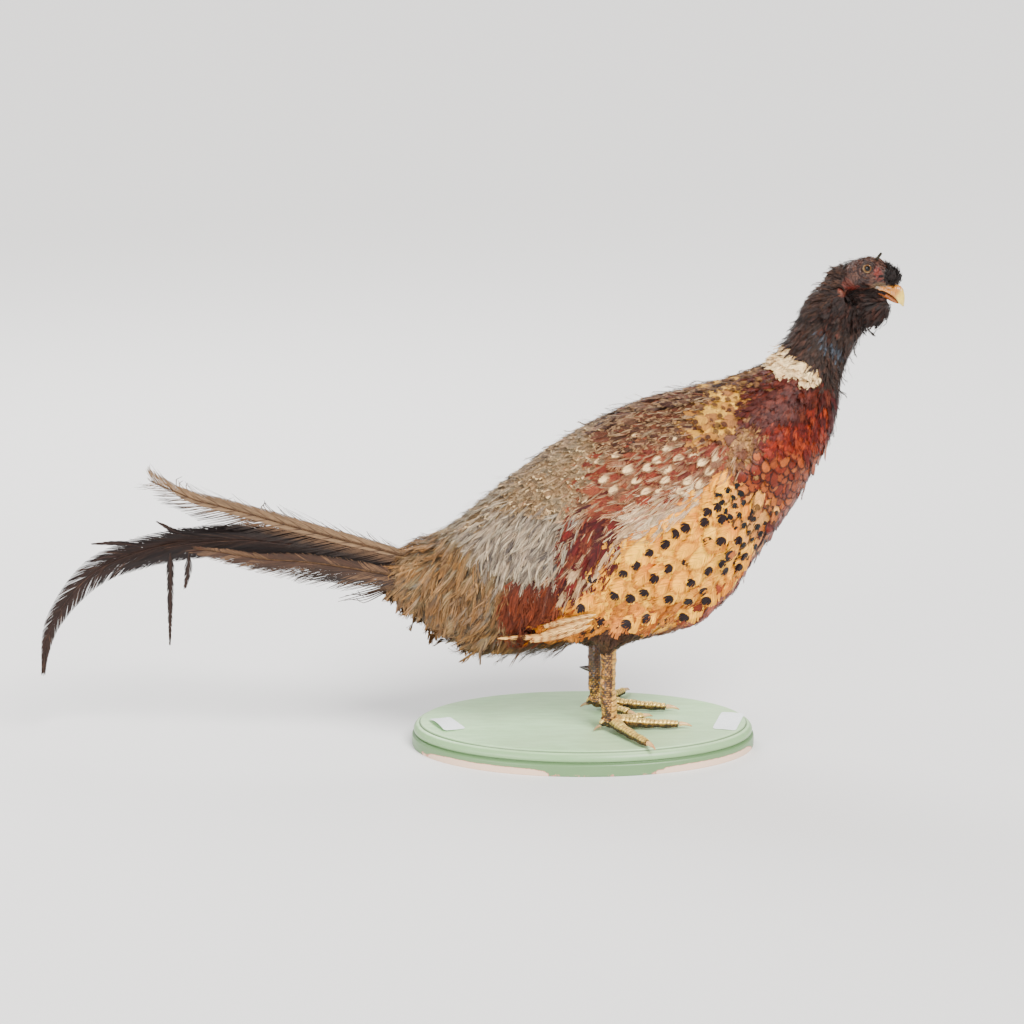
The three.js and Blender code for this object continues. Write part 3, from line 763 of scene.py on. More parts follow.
def feathers_on(
    spines, outs, lengths, widths, shape, loose, tones, tips, mark, pattern, patch_at, turns=TURNS
):
    """Many feathers of one template shape: spines are each one's stations in space, outs the way out of
    the body there, and turns where along a feather its tone turns into its tip's. Returns the arrays of one
    joined mesh."""
    count, stations = spines.shape[:2]
    flow = np.gradient(spines, axis=1)
    flow /= np.linalg.norm(flow, axis=2, keepdims=True)
    across = np.cross(outs, flow)
    across /= np.linalg.norm(across, axis=2, keepdims=True)
    out = np.cross(flow, across)
    size, barbs = len(shape["along"]), (shape["barbs"] - 1) // 2
    uneven = 0.03 + 0.07 * loose
    drift = chance.normal(0, 1, (count, shape["barbs"], 3))
    for _ in range(2):
        drift[:, 1:-1] = (drift[:, :-2] + drift[:, 1:-1] * 1.2 + drift[:, 2:]) / 2.2
    pull = np.zeros((count, shape["barbs"]))
    shade = np.ones((count, shape["barbs"]))
    for first in (1, 1 + barbs):
        pull[:, first : first + barbs], clump = clinging(count, barbs, 0.28)
        shades = chance.normal(0, uneven, (count, barbs + 1))
        shade[:, first : first + barbs] += shades[np.arange(count)[:, None], clump]
    shade *= chance.normal(1, uneven, shade.shape)
    shade[:, 0] *= 1.15
    drift = drift[:, shape["barb"]] * shape["free"][None, :, None] * loose
    pull = pull[:, shape["barb"]] * shape["free"] * shape["pitch"] * min(0.62, 0.62 * loose)
    along = np.clip(shape["along"] + drift[..., 0] * 0.05 + pull, 0, 1.06)
    seat = np.clip(along, 0, 1) * (stations - 1)
    low = np.minimum(seat.astype(int), stations - 2)
    part = (seat - low)[..., None]
    rows = np.arange(count)[:, None]

    def at(values):
        return values[rows, low] * (1 - part) + values[rows, low + 1] * part

    reach = shape["across"] * (1 + drift[..., 1] * 0.22) * (widths / 2 / shape["half"])[:, None]
    side = np.clip(reach / (widths[:, None] / 2), -1.3, 1.3)
    lift = drift[..., 2] * 0.035 * lengths[:, None] - CUP * widths[:, None] * side**2
    points = at(spines) + at(across) * reach[..., None] + at(out) * lift[..., None]
    points += at(flow) * (np.maximum(along - 1, 0) * lengths[:, None])[..., None]
    share = smooth_step(along, *turns)[..., None]
    # a few barbs of the looser feathers are another feather's
    other = chance.permutation(count)
    odd = (chance.random((count, shape["barbs"])) < 0.42 * (loose - 0.4))[:, shape["barb"]][..., None]
    base = np.where(odd, tones[other][:, None], tones[:, None])
    shade = np.clip(shade, 0.45, 1.6)[:, shape["barb"]][..., None]
    ground = (base * (1 - share) + tips[:, None] * share) * shade
    where = np.stack([0.5 + side / 2, along], -1)
    patch = patch_at[:, None] + np.stack([side * 0.0014, (along - 0.5) * PATCH_SIZE], -1)
    faces = shape["faces"][None] + (np.arange(count) * size)[:, None, None]
    kinds = np.concatenate([pattern, chance.random((count, 1))], 1)
    return {
        "points": points.reshape(-1, 3), "faces": faces.reshape(-1, 3),
        "ground": np.clip(ground, 0, 1).reshape(-1, 3), "mark": np.broadcast_to(mark, (count * size, 3)),
        "pattern": np.repeat(kinds, size, 0), "vane": where.reshape(-1, 2), "patch": patch.reshape(-1, 2),
        "out": at(out).reshape(-1, 3),
    }


def coat_piece(name, parts, material, slot, replaces=(), soft=0.0):
    """One joined piece of coat. With soft, its shading leans towards the body's own roundness."""
    start = np.cumsum([0] + [len(p["points"]) for p in parts])
    faces = np.concatenate([p["faces"] + s for p, s in zip(parts, start)])
    points = np.concatenate([p["points"] for p in parts])
    if soft:
        out = np.concatenate([p["out"] for p in parts])
        a, b, c = (points[faces[:, k]] for k in range(3))
        inward = np.sum(np.cross(b - a, c - a) * out[faces[:, 0]], 1) < 0
        faces[inward] = faces[inward][:, ::-1]
    mesh = mesh_from_arrays(name, points, faces)
    if soft:
        own = normals_of(mesh) * (1 - soft) + out * soft
        own /= np.linalg.norm(own, axis=1, keepdims=True)
        mesh.normals_split_custom_set_from_vertices(own.tolist())
    for key in ("ground", "mark", "pattern"):
        add_tone(mesh, key, np.concatenate([p[key] for p in parts]))
    add_uv(mesh, "OFBake", np.concatenate([p["patch"] for p in parts]))
    add_uv(mesh, "vane", np.concatenate([p["vane"] for p in parts]))
    new_object(name, mesh, material, slot, replaces)


def unwrapped(points):
    """Each root's place on the skin cut open along the belly: along the body and round it."""
    x, y, z = points.T
    middle = np.interp(x, [-160, -80, 20, 80, 150, 200, 240], [143, 148, 180, 205, 260, 320, 380])
    rise = x * 0.45 + z * 0.55
    u = np.interp(rise, [-10, 340], [0.02, 0.98])
    v = np.arctan2(y, z - middle) / (2 * math.pi) + 0.5
    return np.stack([u, 0.02 + 0.96 * v], -1)


SMALL = vane_template(7, 0.30, 0.45, 0.9, 0.7)
ROUND = vane_template(12, 0.33, 0.40, 0.95, 0.95)
BROAD = vane_template(18, 0.28, 0.38, 0.95, 0.95)
HAIRY = vane_template(12, 0.15, 0.62, 0.25, 0.2, belly=1.1, fullness=0.7)
WISPY = vane_template(8, 0.2, 0.60, 0.48, 0.12, belly=1.2, fullness=0.65)
SPLIT = vane_template(13, 0.24, 0.48, 0.54, 0.3, belly=1.3, fullness=0.6)
NARROW = vane_template(11, 0.18, 0.45, 0.75, 0.4, belly=1.2, fullness=0.8)
THREAD = vane_template(4, 0.12, 0.75, 0.08, 0.3, belly=1.1, fullness=0.9)

# Each layer: where it shows, the gap between roots, length, width, template, how loose the barbs are, how
# high the tip stands, the tone that tips turn to, the mark's tone and how strong spot, fringe and bars are.
LAYERS = {
    "head": [
        (("tuft",), 1.2, 5.2, 2.8, WISPY, 1.3, 2.8, (40, 34, 36), (84, 66, 58), (0, 0.3, 0)),
        (("throat",), 1.7, 9, 3.2, WISPY, 1.2, 2.8, None, (84, 58, 46), (0, 0.3, 0)),
        (("nape_head",), 1.8, 9.5, 3.0, WISPY, 1.3, 3.0, None, (116, 90, 72), (0, 0.4, 0)),
        (("throat",), 4.0, 8.5, 2.8, NARROW, 1.4, 5.6, (58, 44, 40)),
        (("crown",), 2.2, 5, 1.6, WISPY, 0.9, 0.6, None, (130, 104, 80), (0, 0.4, 0)),
        (("throat", "nape_head"), 3.6, 6, 2.2, THREAD, 1.4, 3.6, (96, 74, 62)),
    ],
    "neck": [
        (("neck", "neck_blue", "neck_red"), 1.8, 9, 3.2, WISPY, 1.1, 2.2, None, (92, 74, 62), (0, 0.3, 0)),
        (("neck",), 9.0, 10, 3.2, NARROW, 1.2, 5.6, (62, 50, 48)),
        (("neck", "neck_red", "neck_blue"), 3.6, 9, 2.6, THREAD, 1.6, 4.2, (96, 74, 62)),
        (("collar",), 1.6, 10, 5.4, ROUND, 0.6, 3.8, (246, 224, 184)),
    ],
    "breast": [
        (("breast_purple", "breast_red"), 2.6, 15, 7, SPLIT, 0.9, 3.2, None, (66, 32, 28), (0, 0.4, 0)),
        (("breast_copper",), 3.0, 15, 7.5, SPLIT, 0.8, 2.8, None, (80, 32, 22), (0, 0.4, 0)),
        (("breast_brown",), 3.2, 14, 7, ROUND, 0.9, 2.4, None, (96, 62, 44), (0, 0.6, 0.3)),
        (("breast_scaled", "breast_low"), 5.0, 16, 10.5, ROUND, 0.35, 2.6, None, (62, 26, 20), (0, 0.95, 0)),
        (("breast_black",), 5.6, 17, 10, ROUND, 0.5, 2.8, None, (34, 20, 24), (1, 0.8, 0)),
    ],
    "flanks": [
        (("flank",), 6.6, 33, 17, BROAD, 0.5, 3.0, (255, 202, 72), (170, 88, 30), (0, 0.6, 0)),
        (("flank_low",), 6.6, 31, 16, BROAD, 0.6, 3.2, (232, 166, 66), (134, 66, 26), (0, 0.6, 0)),
        (("belly", "under"), 5.4, 24, 13, BROAD, 0.5, 2.6, None, (112, 54, 32), (0, 0.5, 0)),
    ],
    "mantle": [
        (("shoulder",), 4.7, 16, 9.5, ROUND, 0.55, 2.8, None, (84, 46, 32), (0.95, 0.15, 0)),
        (("nape",), 3.0, 12, 6, ROUND, 1.0, 2.6, None, (84, 58, 42), (0.5, 0.5, 0)),
        (("mantle",), 4.4, 20, 9, SPLIT, 1.0, 3.6, None, (186, 154, 118), (0, 0.85, 0)),
    ],
    "back": [
        (("back",), 2.9, 12, 6.5, ROUND, 0.9, 2.8, None, (196, 170, 134), (0, 0.55, 0.2)),
        (("rump_top",), 3.0, 14, 6, SPLIT, 1.1, 2.8, None, (182, 158, 122), (0, 0.4, 0.2)),
        (("rump_top", "back"), 8.5, 10, 5.5, ROUND, 1.1, 3.8, None, (236, 210, 168), (0, 0.85, 0)),
    ],
    "wings": [
        (("coverts",), 4.8, 19, 9.5, SPLIT, 0.8, 2.8, None, (190, 146, 106), (0, 0.5, 0)),
        (("grey",), 3.2, 24, 6, HAIRY, 1.2, 2.4, (226, 210, 184)),
        (("chestnut",), 3.6, 28, 7, NARROW, 1.0, 2.8, None, (150, 104, 70), (0, 0.3, 0)),
    ],
    "rump": [
        (("rump",), 3.2, 22, 5.5, HAIRY, 1.4, 2.8),
        (("tail_root",), 3.1, 22, 5.5, HAIRY, 1.2, 2.8, (156, 132, 104)),
        (("orange",), 2.7, 22, 7.5, HAIRY, 1.5, 6.0, (146, 78, 34)),
    ],
    "rump_low": [
        (("rump_low",), 2.8, 25, 4.8, HAIRY, 1.25, 3.6),
    ],
    "trousers": [
        (("vent",), 3.6, 24, 6, HAIRY, 1.6, 5.5, (104, 74, 52)),
        (("thigh",), 2.3, 9, 3.6, SMALL, 1.2, 1.8),
    ],
    "strays": [
        (("rump_low",), 6.5, 30, 6, NARROW, 1.7, 8.0, (150, 112, 66)),
        (("rump", "rump_top"), 4.6, 20, 5, THREAD, 1.6, 4.6, (206, 194, 172)),
        (("rump_low", "tail_root"), 4.0, 28, 6, THREAD, 1.6, 7.0, (182, 138, 84)),
        (("grey", "chestnut"), 8.5, 26, 5, THREAD, 1.5, 4.6, (222, 192, 156)),
        (("mantle", "back", "coverts"), 6.0, 15, 5, THREAD, 1.5, 4.2, (206, 182, 148)),
        (("orange",), 4.0, 24, 6, THREAD, 1.7, 7.5, (140, 80, 42)),
        (("vent",), 4.0, 26, 6, THREAD, 1.7, 7.5, (116, 84, 58)),
    ],
}
GLOSSY = ("flanks", "breast")
COAT_SLOTS = {
    "head": "head_plumage", "neck": "neck_plumage", "wings": "wing_plumage", "trousers": "thigh_plumage",
}


def traced(roots, normals, lengths, stand, swerve):
    """Each feather's stations, laid along the lie of the coat from its root."""
    count = len(roots)
    spines, outs = np.empty((count, STATIONS, 3)), np.empty((count, STATIONS, 3))
    at, out = roots.copy(), normals.copy()
    step = lengths[:, None] / (STATIONS - 1)
    for k in range(STATIONS):
        share = k / (STATIONS - 1)
        height = (0.4 + stand * share**0.8) * chance.normal(1, 0.12, count)
        spines[:, k] = at + out * height[:, None]
        outs[:, k] = out
        if k < STATIONS - 1:
            way = lie_at(at, out)
            turn = swerve * (0.5 + share)
            way = way * np.cos(turn)[:, None] + np.cross(out, way) * np.sin(turn)[:, None]
            at, out = snapped(at + way * step)
    return spines, outs


def layer_feathers(
    patches, gap, length, width, template, loose, stand, tip=None, mark=(120, 90, 70), pattern=(0, 0, 0)
):
    """Feathers all over some patches, each rooted at least the gap from the next."""
    chosen = np.flatnonzero(np.isin(seed_patches, [INDEX[p] for p in patches]))
    chosen = spaced(chosen, gap)
    roots, normals = seed_points[chosen], seed_normals[chosen]
    count = len(chosen)
    lengths = length * chance.normal(1, SPREAD, count).clip(0.7, 1.35)
    widths = width * chance.normal(1, SPREAD, count).clip(0.7, 1.3)
    # one in seventeen stands off the rest
    stands = stand * np.where(chance.random(count) < 0.06, 1.9, 1.0) * chance.normal(1, 0.15, count)
    spines, outs = traced(roots, normals, lengths, stands, chance.normal(0, 0.15 * loose, count))
    palette = [np.array([tone(*t) for t in TONES[name]]) for name in PATCH_NAMES]
    tones = np.array([palette[p][chance.integers(len(palette[p]))] for p in seed_patches[chosen]])
    tones *= chance.normal(1, 0.1, (count, 1)).clip(0.7, 1.3)
    tips = tones * 1.06 if tip is None else tones * 0.35 + tone(*tip) * 0.65
    pattern = np.array([pattern], float) * chance.uniform(0.8, 1.0, (count, 1))
    return feathers_on(
        spines, outs, lengths, widths, template, loose, tones, tips, tone(*mark), pattern, unwrapped(roots)
    )


def on_side(x, z, side):
    """The skin under a place seen from one side."""
    hit = surface.ray_cast(Vector((x, 300 * side, z)), Vector((0, -side, 0)))
    return None if hit[0] is None else np.array(hit[0])


def placed_feathers(places, length, width, template, loose, stand, shades, mark, pattern, tip, turns=TURNS):
    """Feathers whose tips lie at given places on both sides of the body."""
    tips_at = []
    for side in (-1, 1):
        for x, z in places:
            shift = chance.normal(0, 0.4 if side < 0 else 3.0, 2)
            hit = on_side(x + shift[0], z + shift[1], side)
            if hit is not None:
                tips_at.append(hit)
    at, out = snapped(np.array(tips_at))
    for _ in range(STATIONS):
        at, out = snapped(at - lie_at(at, out) * length * 0.88 / STATIONS)
    count = len(at)
    lengths = np.full(count, float(length))
    widths = width * chance.normal(1, 0.1, count)
    spines, outs = traced(at, out, lengths, np.full(count, float(stand)), np.zeros(count))
    palette = np.array([tone(*t) for t in shades])
    tones = palette[chance.integers(len(palette), size=count)]
    tips = tones * 1.05 if tip is None else np.repeat(tone(*tip)[None], count, 0)
    pattern = np.repeat(np.array([pattern], float), count, 0)
    patch_at = unwrapped(at)
    return feathers_on(
        spines, outs, lengths, widths, template, loose, tones, tips, tone(*mark), pattern, patch_at, turns
    )


# Where the dark tips of the flank lie, in millimetres along and up.
FLANK_TIPS = [
    (75, 200), (68, 194.5), (61, 186), (48.5, 178), (39.5, 167.5), (30, 160.5), (6, 157.5), (22, 142), (35, 140),
    (44.5, 145), (63.5, 140), (13, 117.5), (33, 117), (46, 119.5), (63.5, 119.5), (76.5, 121), (80, 136), (94, 134),
    (91, 143), (93, 188), (76, 171.5), (63.5, 166), (104, 204), (90, 204), (100, 215), (93, 211), (110, 176.5),
    (104, 169), (106, 160.5), (93, 162.5), (116, 187), (118, 161.5), (121, 172), (105, 186.5), (-3, 131.5),
    (81, 152), (52, 158),
]
# Where the black-edged tips at the breast's side lie.
BREAST_TIPS = [
    (108 + 3.3 * row + 7.5 * place, 229 - 7.4 * row + 3 * place) for row in range(9) for place in (-1, 0, 1)
]
# Where the pale drops among the wing's brown coverts lie.
COVERT_DROPS = [
    (60, 256), (67, 249), (29, 240), (44, 242), (60, 240), (58, 233), (19, 224), (28.5, 219), (75, 233), (84, 231),
    (55, 226), (70, 226), (86, 246), (44, 224), (36, 232), (92, 240), (80, 252), (12, 232), (2, 225), (22, 248),
    (66, 263), (38, 262), (8, 243), (52, 247), (97, 249),
]
# Where the ends of the buff feathers over the chestnut lie.
CHESTNUT_STREAKS = [(-6, 146), (-14, 138), (-22, 132), (4, 152), (-12, 152), (12, 166), (26, 188)]

MAROON = [(140, 76, 50), (124, 62, 42)]
BUFF = [(186, 158, 126), (160, 132, 104)]
CREAM = (236, 206, 160)
DARK_TIP, EDGED, FRINGED, FAINT_FRINGE = (1, 0.2, 0), (1, 0.85, 0), (0, 0.8, 0), (0, 0.5, 0)
# Feathers placed one by one: their tips' places, length, width, template, looseness, how high the tip
# stands, their shades, the mark's tone, the marks, the tips' tone and where along it turns.
PLACED = {
    "flanks": [
        (FLANK_TIPS, 30, 16, BROAD, 0.5, 5.2, TONES["flank"], (52, 30, 34), DARK_TIP, (252, 196, 72)),
        (BREAST_TIPS, 20, 10.5, ROUND, 0.5, 4.2, TONES["breast_black"], (30, 18, 22), EDGED, None),
    ],
    "wings": [
        (COVERT_DROPS, 18, 7.2, ROUND, 0.4, 3.8, MAROON, (108, 50, 34), FRINGED, CREAM, (0.4, 0.62)),
        (CHESTNUT_STREAKS, 34, 7, NARROW, 0.9, 4.5, BUFF, (112, 54, 34), FAINT_FRINGE, (206, 178, 142)),
    ],
}
for coat, layers in LAYERS.items():
    parts = [layer_feathers(*layer) for layer in layers]
    parts += [placed_feathers(*group) for group in PLACED.get(coat, ())]
    material = GLOSSY_PLUMAGE if coat in GLOSSY else PLUMAGE
    coat_piece("coat_" + coat, parts, material, COAT_SLOTS.get(coat, "body_plumage"), soft=0.45)


# ------------------------------------------------------------------ long quills and loose strands
def through(points, count):
    """Evenly spaced points on a smooth line through some points, and the line's length."""
    points = np.array(points, float)
    ends = np.vstack([2 * points[0] - points[1], points, 2 * points[-1] - points[-2]])
    fine = []
    for k in range(len(points) - 1):
        a, b, c, d = ends[k : k + 4]
        t = np.linspace(0, 1, 12, endpoint=False)[:, None]
        square, cube = 2 * a - 5 * b + 4 * c - d, 3 * b - a - 3 * c + d
        fine.append(0.5 * (2 * b + (c - a) * t + square * t**2 + cube * t**3))
    fine = np.vstack([*fine, points[-1:]])
    gone = np.concatenate([[0], np.cumsum(np.linalg.norm(np.diff(fine[:, :3], axis=0), axis=1))])
    at = np.linspace(0, gone[-1], count)
    return np.stack([np.interp(at, gone, fine[:, k]) for k in range(fine.shape[1])], 1), gone[-1]


def plain_part(points, faces, ground, where, patch):
    """A part without marks, for coat_piece."""
    pattern = np.zeros((len(points), 4))
    pattern[:, 3] = chance.random()
    return {
        "points": points, "faces": faces, "ground": np.clip(ground, 0, 1), "mark": ground * 0,
        "pattern": pattern, "vane": where, "patch": patch,
    }


STRAND_STEPS = 8


def strands(paths, radius, shade, patch_at, end=0.35):
    """Fine three-sided strands along some lines, thinning to their ends."""
    parts = []
    for path in paths:
        line, _ = through(path, STRAND_STEPS)
        flow = np.gradient(line, axis=0)
        flow /= np.linalg.norm(flow, axis=1, keepdims=True)
        first = np.cross(flow, [0.1, 1.0, 0.05])
        first /= np.linalg.norm(first, axis=1, keepdims=True)
        second = np.cross(flow, first)
        size = radius * np.linspace(1, end, STRAND_STEPS)[:, None]
        ring = [line + (first * math.cos(a) + second * math.sin(a)) * size for a in (0.4, 2.5, 4.6)]
        points = np.stack(ring, 1).reshape(-1, 3)
        faces = []
        for k in range(STRAND_STEPS - 1):
            for j in range(3):
                a, b = 3 * k + j, 3 * k + (j + 1) % 3
                faces += [(a, b, b + 3), (a, b + 3, a + 3)]
        last = 3 * (STRAND_STEPS - 1)
        faces += [(0, 2, 1), (last, last + 1, last + 2)]
        share = np.repeat(np.linspace(0, 1, STRAND_STEPS), 3)
        ground = tone(*shade) * (1 - 0.2 * share[:, None])
        where = np.stack([np.tile([0.45, 0.5, 0.55], STRAND_STEPS), share], 1)
        aside = np.tile([-0.001, 0, 0.001], STRAND_STEPS)
        patch = patch_at + np.stack([aside, (share - 0.5) * PATCH_SIZE], 1)
        parts.append(plain_part(points, np.array(faces), ground, where, patch))
    return parts


RAIL = 60  # stations along a long quill's line
BARB_STEPS = ((0.0, 0.9), (0.35, 1.1), (0.7, 1.0), (1.0, 0.4))  # along a barb, and how broad it is there
CLING = 0.45  # how far the barbs of a clump lean together
SHAFT_STEPS, SHAFT_SIDES = 40, 6


def quill(
    line, halves, broad, patch, gap, advance, paint,
    loose=1.0, thick=1.0, sides=(1, 1), fray=0.0, full=1.0, level=0.2,
):
    """One long feather: a horny shaft along a line and barbs that sweep towards its tip.
    halves is the vane's half width along it, broad the way the vane spreads, gap a barb's room on the shaft
    and advance how far it runs on for each millimetre out; paint(along, across, shade) gives a tone. thick
    is the shaft's radius, sides the share of its width that either side has, fray the frayed share of its
    length, full how broad barbs are, and level how square to the shaft its bars are."""
    rail, length = through([(*p, h) for p, h in zip(line, halves)], RAIL)
    rail, half = rail[:, :3], rail[:, 3]
    widest = max(half.max(), 1)
    flow = np.gradient(rail, axis=0)
    flow /= np.linalg.norm(flow, axis=1, keepdims=True)
    width = np.array(broad, float) - flow * (flow @ np.array(broad, float))[:, None]
    width /= np.linalg.norm(width, axis=1, keepdims=True)
    depth = np.cross(flow, width)
    place = np.linspace(0, length, RAIL)

    def at(table, s):
        seat = np.clip(s / length * (RAIL - 1), 0, RAIL - 1 - 0.001)
        low = seat.astype(int)
        rest = (seat - low)[..., None]
        return table[low] * (1 - rest) + table[low + 1] * rest

    number = int(length / gap)
    points, faces, tones, where, patches = [], [], [], [], []
    total = 0
    for side, scale in ((1, sides[0]), (-1, sides[1])):
        if scale <= 0:
            continue
        starts = (np.arange(number) + chance.uniform(0.2, 0.8, number)) * length * 0.985 / number
        pull, clump = clinging(1, number, 0.14)
        pull, clump = np.clip(pull[0], -5, 5) * gap * CLING * loose, clump[0]
        clumps = clump.max() + 2
        shade = chance.normal(1, 0.06 * loose, clumps)[clump] * chance.normal(1, 0.05, number)
        lift = chance.normal(0, 0.4 * loose, clumps)[clump]
        reach = np.interp(starts, place, half) * scale * chance.normal(1, 0.06 * loose, number)
        end = starts + reach * advance * chance.normal(1, 0.06 * loose, number)
        reach = np.minimum(reach, np.interp(np.minimum(end, length), place, half) * scale * 1.1 + 0.6)
        wild = np.clip((starts / length - (1 - fray)) / fray, 0, 1) if fray else np.zeros(number)
        reach = reach * (1 + wild * chance.uniform(0.2, 1.6, number))
        for share, barb in BARB_STEPS:
            s = starts + (end - starts) * share**0.9 + pull * share**2.5
            w = side * reach * (share - 0.12 * share * share) / 0.88
            along = np.clip(s / length, 0, 1)
            raised = thick * 0.35 * (1 - share) + lift * share * 0.5 * loose
            base = at(rail, s) + at(flow, s) * np.maximum(s - length, 0)[:, None]
            base = base + at(width, s) * w[:, None] + at(depth, s) * raised[:, None]
            base += np.array([0, 0, 1.0]) * (wild * share**2 * 5)[:, None]
            shift = at(flow, s) * (gap * barb * (1 - 0.45 * wild) * full)[:, None]
            for sign in (-1, 1):
                points.append(base + shift * sign)
                tones.append(paint((starts * (1 - level) + s * level) / length, np.abs(w) / widest, shade))
                where.append(np.stack([0.5 + w / (2 * widest), along], 1))
                patches.append(patch + np.stack([along * 0.05, w / widest * 0.002], 1))
        for j in range(len(BARB_STEPS) - 1):
            a = total + 2 * j * number + np.arange(number)
            b, c, d = a + number, a + 2 * number, a + 3 * number
            quads = [(a, c, d), (a, d, b)] if side < 0 else [(a, d, c), (a, b, d)]
            faces += [np.stack(q, 1) for q in quads]
        total += 2 * len(BARB_STEPS) * number
    seats = np.linspace(0, length * 0.995, SHAFT_STEPS)
    radius = thick * np.linspace(1, 0.25, SHAFT_STEPS)[:, None]
    for a in np.arange(SHAFT_SIDES) * math.pi / 3:
        out = at(width, seats) * math.cos(a) + at(depth, seats) * math.sin(a)
        points.append(at(rail, seats) + out * radius)
        tones.append(np.clip(paint(seats / length, seats * 0, np.full(SHAFT_STEPS, 1.25)), 0, 1))
        where.append(np.stack([np.full(SHAFT_STEPS, 0.5), seats / length], 1))
        patches.append(patch + np.stack([seats / length * 0.05, seats * 0], 1))
    for j in range(SHAFT_SIDES):
        a = total + j * SHAFT_STEPS + np.arange(SHAFT_STEPS - 1)
        b = total + (j + 1) % SHAFT_SIDES * SHAFT_STEPS + np.arange(SHAFT_STEPS - 1)
        faces += [np.stack([a, a + 1, b + 1], 1), np.stack([a, b + 1, b], 1)]
    return plain_part(*(np.vstack(rows) for rows in (points, faces, tones, where, patches)))


def blend_tones(first, second, share):
    return tone(*first) * (1 - share[:, None]) + tone(*second) * share[:, None]


def painter(
    shaft, edge, low, high, ticks=0, half=0.07, tick=(84, 58, 42), within=9.0, beyond=-9.0, power=1.0
):
    """The paint of a long feather: its tones along the shaft and at the edge, with ticks across it that
    show within a distance from the shaft and beyond a place along it."""

    def paint(along, across, shade):
        colour = blend_tones(shaft, edge, smooth_step(across, low, high))
        ticked = (np.abs(((along * ticks) % 1) - 0.5) < half) & (across < within) & (along > beyond)
        return np.where(ticked[:, None], tone(*tick), colour) * (shade**power)[:, None]

    return paint


paint_upper = painter((138, 116, 92), (112, 88, 68), 0.3, 1.1, ticks=17, within=0.42)
paint_comb = painter((118, 94, 72), (50, 36, 29), 0.4, 1.4)
paint_lower = painter((82, 60, 45), (46, 33, 26), 0.2, 0.8, ticks=12, within=0.4)
paint_dark = painter(
    (62, 42, 33), (42, 29, 24), 0.1, 0.8, ticks=15, half=0.05, tick=(82, 62, 50), beyond=0.62, power=1.5
)


def paint_wing(along, across, shade):
    colour = blend_tones((232, 196, 136), (202, 152, 92), smooth_step(across, 0.4, 1.0))
    band = np.sin(along * 46) > 0.5
    colour = np.where((band & (across > 0.1))[:, None], tone(158, 98, 54), colour)
    return np.where((across > 0.86)[:, None], tone(112, 74, 48), colour) * shade[:, None]


def lean_way(degrees, side):
    """The way a vane spreads that leans from upright towards its own side."""
    return (0, -side * math.sin(math.radians(degrees)), math.cos(math.radians(degrees)))


# The lines of the tail's bundles from the side, and their vanes' half widths there.
UPPER = [
    (-128, 154), (-161, 164), (-195, 173), (-224, 181), (-246, 187.5),
    (-264, 193), (-290, 200), (-309, 205), (-325, 212), (-345, 221),
]
UPPER_HALF = [5, 7, 8, 8.5, 8, 8, 7.5, 6, 5, 2.5]
FAR_UPPER_HALF = [5, 7, 8, 8, 7, 5, 2]
BENT = [
    (-128, 148), (-200, 162), (-245, 168), (-275, 170.5), (-322, 167), (-355, 160),
    (-386, 148), (-408, 129), (-427, 102), (-434, 79), (-437, 55),
]
BENT_HALF = [8, 10, 12, 13, 13, 12, 10.5, 8.2, 5.4, 2.8, 1.2]
LOWER = [(-128, 136), (-160, 141), (-195, 147), (-225, 151), (-255, 153), (-285, 158), (-312, 162)]
LOWER_HALF = [12, 14, 14, 12, 8, 6, 2.5]
# The vanes of a bundle: each one's gap, advance and paint, and the rest that quill takes.
UPPER_VANES = [
    (0.45, 3.4, paint_upper, {"sides": (0.85, 0), "loose": 0.12, "fray": 0.16}),
    (0.45, 3.2, paint_upper, {"sides": (0, 0.5), "loose": 0.15, "fray": 0.16}),
    (1.2, 1.9, paint_comb, {"sides": (0, 2.0), "loose": 1.1, "fray": 0.25, "full": 0.42}),
    (5.5, 2.6, paint_comb, {"sides": (1.5, 0), "loose": 1.3, "fray": 0.25, "full": 0.09}),
]
LOWER_VANES = [
    (0.45, 3.0, paint_lower, {"sides": (0.45, 1.0), "loose": 0.2}),
    (1.5, 2.0, paint_comb, {"sides": (0.5, 1.3), "loose": 1.1, "full": 0.35}),
]
# The bent bundle's quills: how far each sags and lies out of the middle, and its share of the length.
BENT_QUILLS = [(0, 0, 1.0), (3, -2.5, 0.74), (-3, 2.5, 0.8), (5, 1.5, 0.66), (1, -3.5, 0.58)]
# The two broken feathers that hang from it, with their half widths.
HANGING = [
    (((-331, 0, 160), (-332, -1, 122), (-333.5, 0, 83)), 3.2),
    (((-316, 0, 160), (-317, 0.5, 146), (-320, 0, 131)), 3.4),
]
# Single barbs that stand off the outside of the bend.
LOOSE_BARBS = [
    ((-312, 172), (-327, 178), (-341, 186)),
    ((-352, 165), (-372, 168), (-394, 167.5)),
    ((-374, 157), (-384, 156.5), (-394, 153)),
]


def vanes(line, halves, broad, patch, kinds):
    return [quill(line, halves, broad, patch, *kind, **rest) for *kind, rest in kinds]


